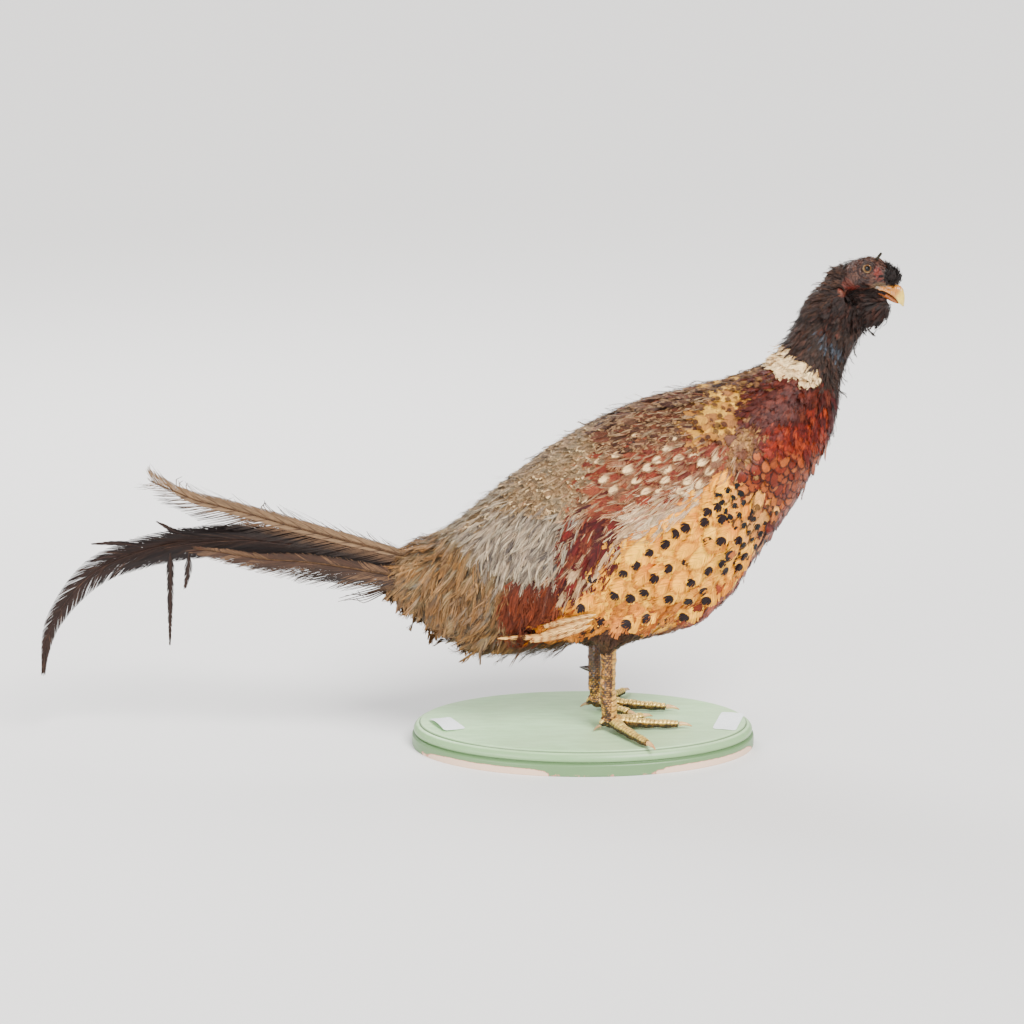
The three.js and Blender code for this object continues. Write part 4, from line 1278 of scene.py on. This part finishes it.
upper_parts, lower_parts, dark_parts = [], [], []
for side in (-1, 1):
    near = side < 0
    line = [(x, side * 5, z - 3 * (side > 0)) for x, z in UPPER[: 10 if near else 7]]
    patch = np.array([0.03 if near else 0.15, 0.95])
    upper_parts += vanes(line, UPPER_HALF if near else FAR_UPPER_HALF, lean_way(18, side), patch, UPPER_VANES)
    line = [(x, side * 11, z + 5) for x, z in LOWER]
    patch = np.array([0.27 if near else 0.39, 0.95])
    lower_parts += vanes(line, LOWER_HALF, lean_way(24, side), patch, LOWER_VANES)
for k, (drop, out, share) in enumerate(BENT_QUILLS):
    line, _ = through([(x, out, z, h) for (x, z), h in zip(BENT, BENT_HALF)], 40)
    line = line[: int(40 * share)]
    line[:, 2] += drop * np.sin(np.linspace(0, math.pi, len(line)))
    half = line[:, 3]
    if k:
        half = half * 0.75 * np.clip((1 - np.linspace(0, 1, len(line))) * 6, 0.15, 1)
    patch = np.array([0.5 + 0.07 * k, 0.95])
    gap, advance, loose = (0.8, 4.2, 0.8) if k else (0.5, 2.4, 0.45)
    broad = (0, 0.12 * out, 1)
    dark_parts.append(quill(line[:, :3], half, broad, patch, gap, advance, paint_dark, loose=loose))
patch = np.array([0.87, 0.95])
for line, half in HANGING:
    halves = (half, half * 0.7, 0.6)
    dark_parts.append(quill(line, halves, (1, 0, 0), patch, 0.6, 3.4, paint_dark, thick=0.7))
patch = np.array([0.9, 0.92])
for ends in LOOSE_BARBS:
    line = [(x, 0, z) for x, z in ends]
    halves = (2.6, 1.8, 0.4)
    dark_parts.append(quill(line, halves, (0, 0.1, 1), patch, 0.5, 3.4, paint_dark, thick=0.5, loose=0.8))
# dark barbs under the root of the tail
loose_ends = [
    [
        (-158, side * 4, 132 - k),
        (-176, side * (5 + k), 127 - 2 * k),
        (-197 + 5 * k, side * (5 + 2 * k), 121 + 1.6 * k),
    ]
    for side in (-1, 1) for k in range(4)
]
lower_parts += strands(loose_ends, 0.7, (84, 62, 46), np.array([0.45, 0.9]))
coat_piece("tail_upper_feathers", upper_parts, PLUMAGE, "tail_plumage", ("tail_upper",))
coat_piece("tail_lower_feathers", lower_parts, PLUMAGE, "tail_plumage", ("tail_lower",))
BENT_NODES = ("tail_bent", "tail_broken_long", "tail_broken_short")
coat_piece("tail_dark_feathers", dark_parts, PLUMAGE, "tail_dark_plumage", BENT_NODES)

# The wing tips' vanes: three places along each shaft, its halves and how far out it lies.
WING_QUILLS = [
    (((8, 126.5), (-12, 121), (-34, 114)), (2.4, 3.0, 0.8), 60.0),
    (((6, 123), (-16, 114), (-42, 103.5)), (3.4, 4.0, 1.0), 60.6),
    (((4, 117.5), (-16, 109.5), (-42, 101.5)), (2.8, 3.4, 0.8), 59.2),
    (((-8, 114), (-38, 106), (-69, 102.5)), (2.4, 2.6, 0.5), 60.0),
]
wing_parts = []
for side in (-1, 1):
    for k, (places, halves, out) in enumerate(WING_QUILLS):
        line = [(x, side * (out + 0.21 * min(x, 0)), z) for x, z in places]
        broad = (0.3, side * 0.25, 0.95)
        patch = np.array([0.1 + 0.1 * k, 0.35 + 0.3 * (side > 0)])
        part = quill(line, halves, broad, patch, 0.35, 3.0, paint_wing, loose=0.1, thick=0.45, level=1.0)
        wing_parts.append(part)
coat_piece("wing_quills", wing_parts, PLUMAGE, "wing_plumage")

# ------------------------------------------------------------------ eyes and lids
EYE_RADIUS = 0.0047
# Folds of skin round each eye: the fold's radius, its thickness and how far along the look it lies.
LID_FOLDS = ((3.35, 0.5, 3.35), (4.3, 0.6, 2.5), (5.4, 0.5, 1.3))


def glass_material():
    """Polished glass over a dark pupil and a tan iris with fine rays. The ring runs from 0 in the middle of
    the pupil to 1 at the back of the eye."""
    material, tree, shader = new_material("glass eye")
    ring = attribute_of(tree, "ring", "Fac")
    rays = noise_of(tree, place_of(tree), 900.0, 3.0)
    iris = mix_of(tree, rays, rgba(136, 106, 70), rgba(90, 64, 44))
    iris = mix_of(tree, ramp_of(tree, ring, 0.19, 0.24), iris, rgba(84, 64, 48))
    colour = mix_of(tree, ramp_of(tree, ring, 0.13, 0.155), rgba(16, 12, 12), iris)
    tree.links.new(colour, shader.inputs["Base Color"])
    set_inputs(shader, Roughness=0.08, Specular_IOR_Level=0.2)
    return material


def turn_once(shape, geom, steps):
    around = {"axis": (0, 0, 1), "cent": (0, 0, 0), "angle": 2 * math.pi}
    bmesh.ops.spin(shape, geom=geom, steps=steps, use_merge=True, **around)


def add_folds(lids, place):
    """The folds of skin round one eye, added to the shape of all lids."""
    for radius, thick, along_look in LID_FOLDS:
        loop = bmesh.ops.create_circle(lids, segments=10, radius=thick * 0.001)["verts"]
        bmesh.ops.rotate(lids, verts=loop, matrix=Matrix.Rotation(math.pi / 2, 3, "X"))
        bmesh.ops.translate(lids, verts=loop, vec=Vector((radius * 0.001, 0, along_look * 0.001)))
        turn_once(lids, loop + list({e for v in loop for e in v.link_edges}), 48)
        # tagged points belong to earlier folds
        fresh = [v for v in lids.verts if not v.tag]
        for vert in fresh:
            turn = math.atan2(vert.co.y, vert.co.x)
            vert.co.z *= 1 + 0.05 * math.sin(turn * 5 + radius)
            vert.co.y *= 0.93
        bmesh.ops.transform(lids, matrix=place, verts=fresh)
        for vert in fresh:
            vert.tag = True


EYE_GLASS = glass_material()
LID_SKIN = toned_material("lid skin", 0.5, 900.0, 0.5, 0.0003, spread=0.3)
lid_shape = bmesh.new()
for side, name in ((-1, "eye_right"), (1, "eye_left")):
    look = LEFTWARD * side * 0.96 + FORWARD * 0.2 + UPWARD * 0.06
    turned = Vector(look).to_track_quat("Z", "Y").to_matrix().to_4x4()
    place = Matrix.Translation((Vector(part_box(name)[0]) + Vector(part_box(name)[1])) / 2) @ turned
    shape = bmesh.new()
    bmesh.ops.create_uvsphere(shape, u_segments=40, v_segments=40, radius=EYE_RADIUS)
    rings = shape.verts.layers.float.new("ring")
    for vert in shape.verts:
        vert[rings] = math.acos(max(-1, min(1, vert.co.z / EYE_RADIUS))) / math.pi
    bmesh.ops.transform(shape, matrix=place, verts=shape.verts)
    new_object(name + "_glass", mesh_from_shape(name + "_glass", shape), EYE_GLASS, "eye_glass", (name,))
    add_folds(lid_shape, place)
bmesh.ops.remove_doubles(lid_shape, verts=lid_shape.verts, dist=1e-6)
bmesh.ops.recalc_face_normals(lid_shape, faces=lid_shape.faces)
lids = mesh_from_shape("eyelids", lid_shape)
# pale near the eye and dark where the lids meet the skin, with a ragged line between
points = points_of(lids)
share, near = noise_at(points, 0.5), in_head(points)
away = np.hypot(near[:, 0] - EYE_AT[0] - 0.6, near[:, 2] - EYE_AT[1])
away += 0.9 * smooth_step(near[:, 0] + near[:, 2] - sum(EYE_AT), -1.5, 2.5)
ground = blend_tones((158, 132, 96), (80, 56, 46), smooth_step(away + 0.6 * share, 3.5, 4.1))
add_tone(lids, "ground", ground * (0.7 + 0.3 * smooth_step(share, -0.4, 0.4))[:, None])
new_object("eyelids", lids, LID_SKIN, "head_plumage")

# a bare broken quill on the crown
crown_line = [from_head(8.6, -4, 17.4), from_head(9.9, -4.2, 20.6), from_head(11.4, -4.4, 23.7)]
crown_quill = strands([crown_line], 1.35, (78, 72, 60), np.array([0.95, 0.9]), 0.9)
coat_piece("standing_quill", crown_quill, PLUMAGE, "head_plumage")

# ------------------------------------------------------------------ bill
HORN = toned_material("bill horn", 0.34, 500.0, 0.35, 0.0003, specular=0.5, coat=0.25, spread=0.12)
CLAW = toned_material("claw horn", 0.38, 700.0, 0.4, 0.0003, specular=0.5, coat=0.2, spread=0.14)
# The bill's outline from the side, forward and up in the head's frame.
CULMEN = [
    (10, -1.6), (14.4, -0.6), (21.3, 1.1), (28.2, 2.6), (31.2, 2.5),
    (34.1, 0.8), (36.3, -2.6), (37.0, -7.1), (37.3, -12.3),
]
TOMIUM = [
    (10.8, -4.8), (15.5, -5), (19.9, -4.6), (24.6, -5.4), (28.3, -6.8),
    (31.3, -8.4), (33.2, -10.3), (34.6, -11.7), (37.3, -12.8),
]
CHIN = [(10, -6.8), (12, -7.6), (18.2, -9.4), (23, -11), (27.7, -12), (31, -12.2), (34.2, -12.2)]


def height_on(line, forward):
    return np.interp(forward, *np.array(line).T)


def fitted(near, top, low):
    """Moves the points up or down so that their outline from the side follows two lines."""
    seats = np.arange(near[:, 0].min(), near[:, 0].max(), 0.6)
    reach = [near[np.abs(near[:, 0] - s) < 0.7, 2] for s in seats]
    had_top = np.interp(near[:, 0], seats, [r.max() for r in reach])
    had_low = np.interp(near[:, 0], seats, [r.min() for r in reach])
    share = np.clip((near[:, 2] - had_low) / np.maximum(had_top - had_low, 0.3), 0, 1)
    want_top, want_low = height_on(top, near[:, 0]), height_on(low, near[:, 0])
    near[:, 2] = want_low + share * np.maximum(want_top - want_low, 0.3)
    return near


for name in ("bill_upper", "bill_lower"):
    mesh = remeshed_copy([name], 0.35, 3)
    upper = name == "bill_upper"
    near = in_head(points_of(mesh))
    # longer than the node, so that it starts under the skin of the face
    if upper:
        near[:, 0] = 37.4 - (37.9 - near[:, 0]) * 1.5
        near = fitted(near, CULMEN, TOMIUM)
        near[:, 1] *= 1 + np.clip(37 - near[:, 0], 0, 22) * 0.014
    else:
        near[:, 0] = 34 - (33.8 - near[:, 0]) * 3.6
        near = fitted(near, [(f, u - 0.7 - 0.5 * (f > 27)) for f, u in TOMIUM], CHIN)
        near[:, 1] *= 1.05 + np.clip(34 - near[:, 0], 0, 22) * 0.034
    put_points(mesh, relax(mesh, from_head(near[:, :1], near[:, 1:2], near[:, 2:]), 3))
    points, normals = points_of(mesh), normals_of(mesh)
    near = in_head(points)
    ahead, up = near[:, 0], near[:, 2]
    over_gape = up - height_on(TOMIUM, ahead)
    # growth lines, and a nostril under its flap
    push = 0.07 * np.sin(ahead * 3.4 + up * 1.3)
    if upper:
        nostril = np.exp(-(((ahead - 23.5) / 2.2) ** 2 + ((up + 1.6) / 0.8) ** 2))
        flap = np.exp(-(((ahead - 23.2) / 3.0) ** 2 + ((up + 0.2) / 1.0) ** 2))
        push += 0.45 * flap - 0.75 * nostril
    put_points(mesh, points + normals * push[:, None])
    if upper:
        ground = blend_tones((194, 138, 54), (230, 206, 112), smooth_step(ahead - 0.3 * up, 31, 36.5))
        base = smooth_step(-ahead + 0.5 * up, -20.5, -17)[:, None]
        ground = ground * (1 - base) + tone(134, 112, 84) * base
        # painted shade along the gape and in the nostril
        ground *= 1 - 0.5 * smooth_step(-over_gape, -0.8, -0.2)[:, None]
        ground *= 1 - 0.6 * np.clip(nostril, 0, 1)[:, None]
    else:
        reach = np.clip((ahead - 12) / 25, 0, 1)
        ground = blend_tones((164, 102, 50), (186, 124, 62), smooth_step(reach, 0.2, 0.9))
        # painted shade along its top edge, under the upper bill
        ground *= 1 - 0.5 * smooth_step(over_gape, -1.6, -1.0)[:, None]
    streak = noise_at(near * (0.12, 1.4, 1.4))
    add_tone(mesh, "ground", ground * (1 + 0.22 * streak[:, None]))
    new_object(name + "_horn", mesh, HORN, "bill_horn", (name,))


# ------------------------------------------------------------------ legs, claws and spurs
def leg_material():
    """Old gilt over scaled skin: bright on the plates, dark in the creases."""
    material, tree, shader = new_material("gilt scales")
    raised = node_of(tree, "ShaderNodeSeparateColor", {0: attribute_of(tree, "raised")}).outputs[0]
    grain = noise_of(tree, place_of(tree), 900.0, 4.0, 0.7)
    tint = dimmed(tree, attribute_of(tree, "ground"), ramp_of(tree, grain, 0.25, 0.75, 0.7, 1.3))
    gloss = ramp_of(tree, grain, 0.3, 0.7, 0.42, 0.28)
    link_inputs(tree, shader, tint, bump_of(tree, grain, 0.4, 0.0004), gloss)
    tree.links.new(ramp_of(tree, raised, 0.2, 0.8, 0.0, 0.55), shader.inputs["Metallic"])
    return material


LEG_SKIN = leg_material()
# The headings of each foot's toes, in degrees: outer, middle, inner and hind.
TOES = {"right": (-58, 2, 38, 203), "left": (58, -6, -40, 170)}


def beads(u, v):
    """Small scales in staggered rows."""
    row = np.floor(v)
    cell = ((u + 0.5 * (row % 2)) % 1) - 0.5
    high = (v % 1) - 0.5
    return np.clip(1 - 4.2 * (cell**2 + high**2), 0, 1) ** 0.5


def scaled_leg(side):
    """One shank and its toes, all plates and beads."""
    x, y = SHANK_AT[side]
    mesh = remeshed_copy(["foot_" + side], 0.55, 3)
    # the shank runs on up into the trousers
    points = points_of(mesh)
    points[:, 2] += np.maximum(points[:, 2] - 55, 0) * 0.8
    put_points(mesh, points)
    normals = normals_of(mesh)
    # which toe a point belongs to, or 0 for the shank, and its place along it and round it
    local = points - np.array([x, y, BASE_TOP])
    rise = local[:, 2]
    best = np.hypot(local[:, 0], local[:, 1]) / 5.2 + np.clip((9 - rise) / 3, 0, 9)
    kind = np.zeros(len(points), int)
    run = rise.copy()
    sideways = np.arctan2(local[:, 1], local[:, 0])
    for k, heading in enumerate(TOES[side]):
        ahead = np.array([math.cos(math.radians(heading)), math.sin(math.radians(heading))])
        along = local[:, :2] @ ahead
        off = local[:, 0] * ahead[1] - local[:, 1] * ahead[0]
        away = np.hypot(off, rise - 4) / 4.3 + np.clip(-along / 3, 0, 9) + (rise > 13) * 9
        nearer = away < best
        best = np.where(nearer, away, best)
        kind = np.where(nearer, k + 1, kind)
        run = np.where(nearer, along, run)
        sideways = np.where(nearer, off, sideways)
    on_toe = kind > 0
    # rings of plates over the toes and a double row down the front and back of the shank, beads between
    plate_toe = np.abs(np.sin(np.pi * (run / 3.3 + 0.12 * np.abs(sideways)))) ** 0.45
    top = smooth_step(normals[:, 2], 0.0, 0.35)
    joint = 0.3 * np.cos(run / 15 * 2 * np.pi)
    toe = plate_toe * top + beads(run / 1.7, rise / 1.6 + 3) * (1 - top) * 0.75
    front = np.maximum(smooth_step(np.cos(sideways), 0.1, 0.25), smooth_step(-np.cos(sideways), 0.75, 0.85))
    stagger = 0.5 * (sideways > 0)
    plate_leg = np.abs(np.sin(np.pi * (run / 4.4 + stagger + 0.25 * np.abs(np.sin(sideways))))) ** 0.5
    plate_leg *= smooth_step(np.abs(np.sin(sideways)), 0.03, 0.14)
    shank = plate_leg * front + beads(sideways * 5.2 / 2.2, run / 1.9) * (1 - front) * 0.8
    wander = noise_at(points, 0.35)
    height = np.clip(np.where(on_toe, toe, shank) * (1 + 0.3 * wander), 0, 1.1)
    swell = 0.3 + 0.9 * noise_at(points, 0.16) + 0.9 * smooth_step(rise, 10, 20)
    push = 0.7 * height - 0.3 + np.where(on_toe, joint, swell)
    put_points(mesh, points + normals * push[:, None])
    # dark creases, bright plates on the toes and the shank's front, worn ones elsewhere
    share = smooth_step(height, 0.25, 0.8)[:, None]
    speckle = noise_at(points, 0.55)
    worn = blend_tones((128, 88, 50), (222, 174, 100), smooth_step(speckle + 0.6 * wander, -0.5, 0.55))
    bright = blend_tones((232, 190, 116), (252, 222, 142), on_toe * 1.0)
    shiny = (on_toe * top + ~on_toe * front * (local[:, 0] > 0))[:, None] > 0.5
    ground = tone(64, 42, 32) * (1 - share) + np.where(shiny, bright, worn) * share
    ground *= (1 + 0.4 * wander)[:, None]
    # painted shade: the toes are darker on their undersides
    ground *= np.where(on_toe, 0.32 + 0.68 * smooth_step(normals[:, 2], 0.0, 0.6), 1.0)[:, None]
    # painted shadow: browner towards the trousers, the far shank most of all
    shadow = (smooth_step(rise, 16, 46) * (0.9 if side == "left" else 0.25))[:, None]
    ground = ground * (1 - shadow) + tone(96, 54, 28) * (0.5 + 0.6 * share) * shadow
    add_tone(mesh, "ground", np.clip(ground, 0, 1))
    add_tone(mesh, "raised", np.repeat(share * (1 - shadow), 3, 1))
    new_object("leg_" + side, mesh, LEG_SKIN, "scaled_skin", ("foot_" + side,))


def horny_claws(side):
    """The four claws of one foot, darker towards their tips and at their roots."""
    x, y = SHANK_AT[side]
    claws = [f"claw_{side}_{toe}" for toe in ("outer", "middle", "inner", "hind")]
    mesh = remeshed_copy(claws, 0.4, 2)
    points = points_of(mesh)
    away = np.full(len(points), 1e9)
    for name in claws:
        low, high = (np.array(corner) * 1000 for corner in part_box(name))
        inside = np.all((points > low - 1.5) & (points < high + 1.5), axis=1)
        reach = np.hypot(points[:, 0] - x, points[:, 1] - y)
        ends = np.hypot(*(np.clip([x, y], low[:2], high[:2]) - [x, y]))
        away = np.where(inside, (reach - ends) / 12, away)
    away = np.clip(away, 0, 1)
    ground = blend_tones((232, 196, 148), (206, 158, 112), smooth_step(away, 0.5, 1.0))
    ground *= (1 - 0.45 * smooth_step(-away, -0.14, 0.0))[:, None]
    ground *= np.where(points[:, 0] < x, 0.45, 1.0)[:, None]
    streak = noise_at(points * (0.3, 0.9, 0.9))
    add_tone(mesh, "ground", ground * (1 + 0.25 * streak[:, None]))
    new_object("claws_" + side, mesh, CLAW, "claw_horn", claws)


def horny_spur(side):
    """One spur, turned round the shank so that it points back and inwards."""
    x, y = SHANK_AT[side]
    mesh = remeshed_copy(["spur_" + side], 0.35, 2)
    points = points_of(mesh)
    reach = np.clip((x - 4 - points[:, 0]) / 8, 0, 1)
    turn = math.radians(-62 if side == "right" else 10)
    away = points[:, :2] - [x, y]
    points[:, 0] = x + away[:, 0] * math.cos(turn) - away[:, 1] * math.sin(turn)
    points[:, 1] = y + away[:, 0] * math.sin(turn) + away[:, 1] * math.cos(turn)
    put_points(mesh, points)
    ground = blend_tones((104, 74, 52), (62, 44, 34), reach)
    add_tone(mesh, "ground", ground * (1 + 0.12 * np.sin(reach * 26))[:, None])
    new_object("spur_horn_" + side, mesh, CLAW, "spur_horn", ("spur_" + side,))


for side in TOES:
    scaled_leg(side)
    horny_claws(side)
    horny_spur(side)


# ------------------------------------------------------------------ the base and its paper slips
def board_material():
    """Satin sage paint on turned board, knocked off the bottom edge in places."""
    material, tree, shader = new_material("painted board")
    plus, minus, times, larger = sums_of(tree)
    place = place_of(tree)
    x, y, z = parts_of(tree, place)
    drawn_out = node_of(tree, "ShaderNodeMapping", {"Vector": place, "Scale": (0.25, 1.0, 1.0)}).outputs[0]
    brush = noise_of(tree, drawn_out, 190.0, 5.0, 0.6)
    paint = mix_of(tree, ramp_of(tree, brush, 0.25, 0.75), rgba(190, 222, 178), rgba(206, 236, 196))
    cloud = ramp_of(tree, noise_of(tree, place, 14.0, 3.0), 0.35, 0.7, 0, 0.35)
    paint = mix_of(tree, cloud, paint, rgba(204, 220, 190))
    # painted shade in the groove round the field and under the bead
    groove_shade = times(attribute_of(tree, "groove_shade", "Fac"), 0.8, clamp=True)
    paint = mix_of(tree, groove_shade, paint, rgba(84, 98, 74))
    # painted shade: darker on the sides, and darker still below the bead
    paint = mix_of(tree, ramp_of(tree, z, 0.0180, 0.0165, 0, 0.7), paint, rgba(136, 168, 124))
    paint = mix_of(tree, ramp_of(tree, z, 0.0122, 0.0105, 0, 0.6), paint, rgba(108, 136, 100))
    # chipped along the bottom edge, most of all at the front left and at the front right
    left = times(ramp_of(tree, x, -0.135, -0.105), ramp_of(tree, x, -0.02, -0.05))
    right = times(ramp_of(tree, x, 0.045, 0.08), ramp_of(tree, x, 0.142, 0.13))
    where = times(larger(left, right), ramp_of(tree, y, -0.01, -0.03))
    chips = noise_of(tree, place, 120.0, 6.0, 0.7)
    bare = times(plus(times(where, 0.55), times(chips, 0.75)), ramp_of(tree, z, 0.0105, 0.0005))
    edge = ramp_of(tree, bare, 0.40, 0.43)
    line = minus(edge, ramp_of(tree, bare, 0.45, 0.48), clamp=True)
    colour = mix_of(tree, edge, paint, rgba(236, 212, 192))
    colour = mix_of(tree, times(line, 0.7), colour, rgba(196, 116, 100))
    scuff = ramp_of(tree, noise_of(tree, place, 60.0, 8.0, 0.75), 0.66, 0.72, 0, 0.35)
    colour = mix_of(tree, scuff, colour, rgba(134, 142, 120))
    relief = minus(times(brush, 0.4), times(edge, 0.9))
    gloss = ramp_of(tree, edge, 0, 1, 0.36, 0.8)
    link_inputs(tree, shader, colour, bump_of(tree, relief, 0.35, 0.0006), gloss)
    set_inputs(shader, Specular_IOR_Level=0.45)
    return material


# The board is a round one of this radius, stretched until its field has this length and width.
ROUND_BOARD = 50
FIELD_LENGTH, FIELD_WIDTH = 263.0, 151.0
# How far the moulding stands out past the field's edge, and at what height.
MOULDING = [
    (6.7, 0), (7.3, 0.8), (7.3, 7.6), (7.1, 9.0), (6.2, 9.8), (4.6, 10.5), (5.7, 12.0),
    (5.8, 14.4), (4.1, 16.9), (1.9, 17.9), (0.9, 17.4), (0.4, 19.2), (-0.5, BASE_TOP),
]


def board_mesh():
    """The moulding's profile turned once round and stretched to the oval."""
    edge, _ = through([(ROUND_BOARD + out, z, 0) for out, z in MOULDING], 60)
    profile = [(0, 0), (46, 0), *((r, z) for r, z, _ in edge), (46, BASE_TOP), (30, BASE_TOP), (0, BASE_TOP)]
    shape = bmesh.new()
    verts = [shape.verts.new((r, 0, z)) for r, z in profile]
    turn_once(shape, verts + [shape.edges.new(pair) for pair in zip(verts, verts[1:])], 144)
    bmesh.ops.remove_doubles(shape, verts=shape.verts, dist=1e-4)
    for vert in shape.verts:
        radius = math.hypot(vert.co.x, vert.co.y)
        turn = math.atan2(vert.co.y, vert.co.x)
        inside = min(radius, ROUND_BOARD) / ROUND_BOARD
        out = Vector((math.cos(turn) / FIELD_LENGTH, math.sin(turn) / FIELD_WIDTH)).normalized()
        out = out * max(radius - ROUND_BOARD, 0)
        vert.co.x = (math.cos(turn) * inside * FIELD_LENGTH / 2 + out.x) * 0.001
        vert.co.y = (math.sin(turn) * inside * FIELD_WIDTH / 2 + out.y) * 0.001
        vert.co.z *= 0.001
    # painted shade lies in the groove round the field and under the bead
    groove_shade = shape.verts.layers.float.new("groove_shade")
    for vert in shape.verts:
        turn = math.atan2(vert.co.y * FIELD_LENGTH, vert.co.x * FIELD_WIDTH)
        rim = Vector((math.cos(turn) * FIELD_LENGTH, math.sin(turn) * FIELD_WIDTH)) / 2
        here = Vector(vert.co.xy)
        out = (here * 1000 - rim).length * (1 if here.length * 1000 > rim.length else -1)
        z = vert.co.z * 1000
        groove = math.exp(-(((out - 0.8) / 0.9) ** 2) - ((z - 17.6) / 1.2) ** 2)
        vert[groove_shade] = groove + math.exp(-(((z - 10.6) / 1.1) ** 2)) * (out > 3)
    bmesh.ops.recalc_face_normals(shape, faces=shape.faces)
    return mesh_from_shape("board", shape)


new_object("board", board_mesh(), board_material(), "painted_board", ("base_board",))


def paper_material():
    material, tree, shader = new_material("slip paper")
    place = place_of(tree)
    fibre = noise_of(tree, place, 420.0, 6.0, 0.7)
    stain = noise_of(tree, place, 45.0, 3.0)
    colour = mix_of(tree, ramp_of(tree, fibre, 0.3, 0.7), rgba(240, 244, 248), rgba(250, 253, 255))
    colour = mix_of(tree, ramp_of(tree, stain, 0.5, 0.8, 0, 0.3), colour, rgba(214, 212, 200))
    link_inputs(tree, shader, colour, bump_of(tree, fibre, 0.2, 0.0002))
    set_inputs(shader, Roughness=0.7)
    return material


PAPER = paper_material()
# Each slip: its length and width, its middle, how far it is turned and how high its long edge curls.
SLIPS = {
    "slip_flat": (43, 19, 118, -4.3, 76, 0),
    "slip_curled": (31, 19, -110, -12.6, -64.7, 3.2),
}
CORNER = 2.4


def slip_mesh(name, length, width, x, y, turn, lift):
    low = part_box(name)[0][2] * 1000
    shape = bmesh.new()
    bmesh.ops.create_grid(shape, x_segments=16, y_segments=8, size=0.5)
    for vert in shape.verts:
        u, v = vert.co.x * length, vert.co.y * width
        # round the corners off
        over = Vector((max(abs(u) - length / 2 + CORNER, 0), max(abs(v) - width / 2 + CORNER, 0)))
        if over.length > CORNER:
            over = over - over.normalized() * CORNER
            u -= math.copysign(over.x, u)
            v -= math.copysign(over.y, v)
        if lift:
            rise = abs(v / width - 0.5) ** 2 * lift * math.cos(u / length * 2.4)
        else:
            rise = 0.12 * math.cos(u * 0.3) * math.cos(v * 0.4)
        vert.co = Vector((u, v, rise + 0.14)) * 0.001
    bmesh.ops.solidify(shape, geom=shape.faces[:], thickness=0.0003)
    middle = Matrix.Translation((x * 0.001, y * 0.001, low * 0.001 + 0.0003))
    place = middle @ Matrix.Rotation(math.radians(turn), 4, "Z")
    bmesh.ops.transform(shape, matrix=place, verts=shape.verts)
    bmesh.ops.recalc_face_normals(shape, faces=shape.faces)
    return mesh_from_shape(name + "_paper", shape, smooth=False)


for name, slip in SLIPS.items():
    new_object(name + "_paper", slip_mesh(name, *slip), PAPER, "slip_paper", (name,))

# ------------------------------------------------------------------ camera, lights and floor
TARGET = Vector((-0.0576, 0.0085, 0.19170))
DISTANCE, TILT, LENS = 2.3, math.radians(14.5), 101.07
LIT_AT = Vector((0.02, 0, 0.2))
# The way the sun shines, and its strength and width.
SUN_WAY, SUN_POWER, SUN_SPREAD = Vector((-0.42, 0.62, -0.85)), 6.3, math.radians(28)

scene = bpy.context.scene
camera = bpy.data.objects.new("camera", bpy.data.cameras.new("camera"))
scene.collection.objects.link(camera)
scene.camera = camera
camera.location = TARGET + Vector((0, -math.cos(TILT), math.sin(TILT))) * DISTANCE
camera.rotation_euler = (math.pi / 2 - TILT, 0, 0)
camera.data.lens = LENS
camera.data.sensor_width = 36
camera.data.clip_end = 50


def hung(light, power, colour, way, place=(0, 0, 0)):
    """Puts a light in the scene so that it shines along a way."""
    light.energy = power
    light.color = colour
    holder = bpy.data.objects.new(light.name, light)
    scene.collection.objects.link(holder)
    holder.location = place
    holder.rotation_euler = way.to_track_quat("-Z", "Y").to_euler()


def lamp(name, place, size, power, colour):
    light = bpy.data.lights.new(name, "AREA")
    light.shape = "DISK"
    light.size = size
    hung(light, power, colour, LIT_AT - Vector(place), place)


sun = bpy.data.lights.new("soft sun", "SUN")
sun.angle = SUN_SPREAD
hung(sun, SUN_POWER, (1.0, 0.97, 0.93), SUN_WAY)
lamp("fill", (-1.5, -2.1, 0.5), 1.6, 66, (1.0, 0.98, 0.95))
lamp("rim", (-0.6, 1.3, 1.5), 1.2, 30, (1.0, 0.99, 0.98))
world = bpy.data.worlds.new("studio")
scene.world = world
world.use_nodes = True
sky = world.node_tree.nodes["Background"]
sky.inputs["Color"].default_value = (0.9, 0.89, 0.88, 1)
sky.inputs["Strength"].default_value = 0.92

CLOTH, _, shader = new_material("table cloth")
set_inputs(shader, Base_Color=(0.78, 0.78, 0.785, 1), Roughness=0.9)
shape = bmesh.new()
bmesh.ops.create_grid(shape, x_segments=1, y_segments=1, size=40)
floor = bpy.data.objects.new("floor", mesh_from_shape("floor", shape, smooth=False))
floor.data.materials.append(CLOTH)
scene.collection.objects.link(floor)
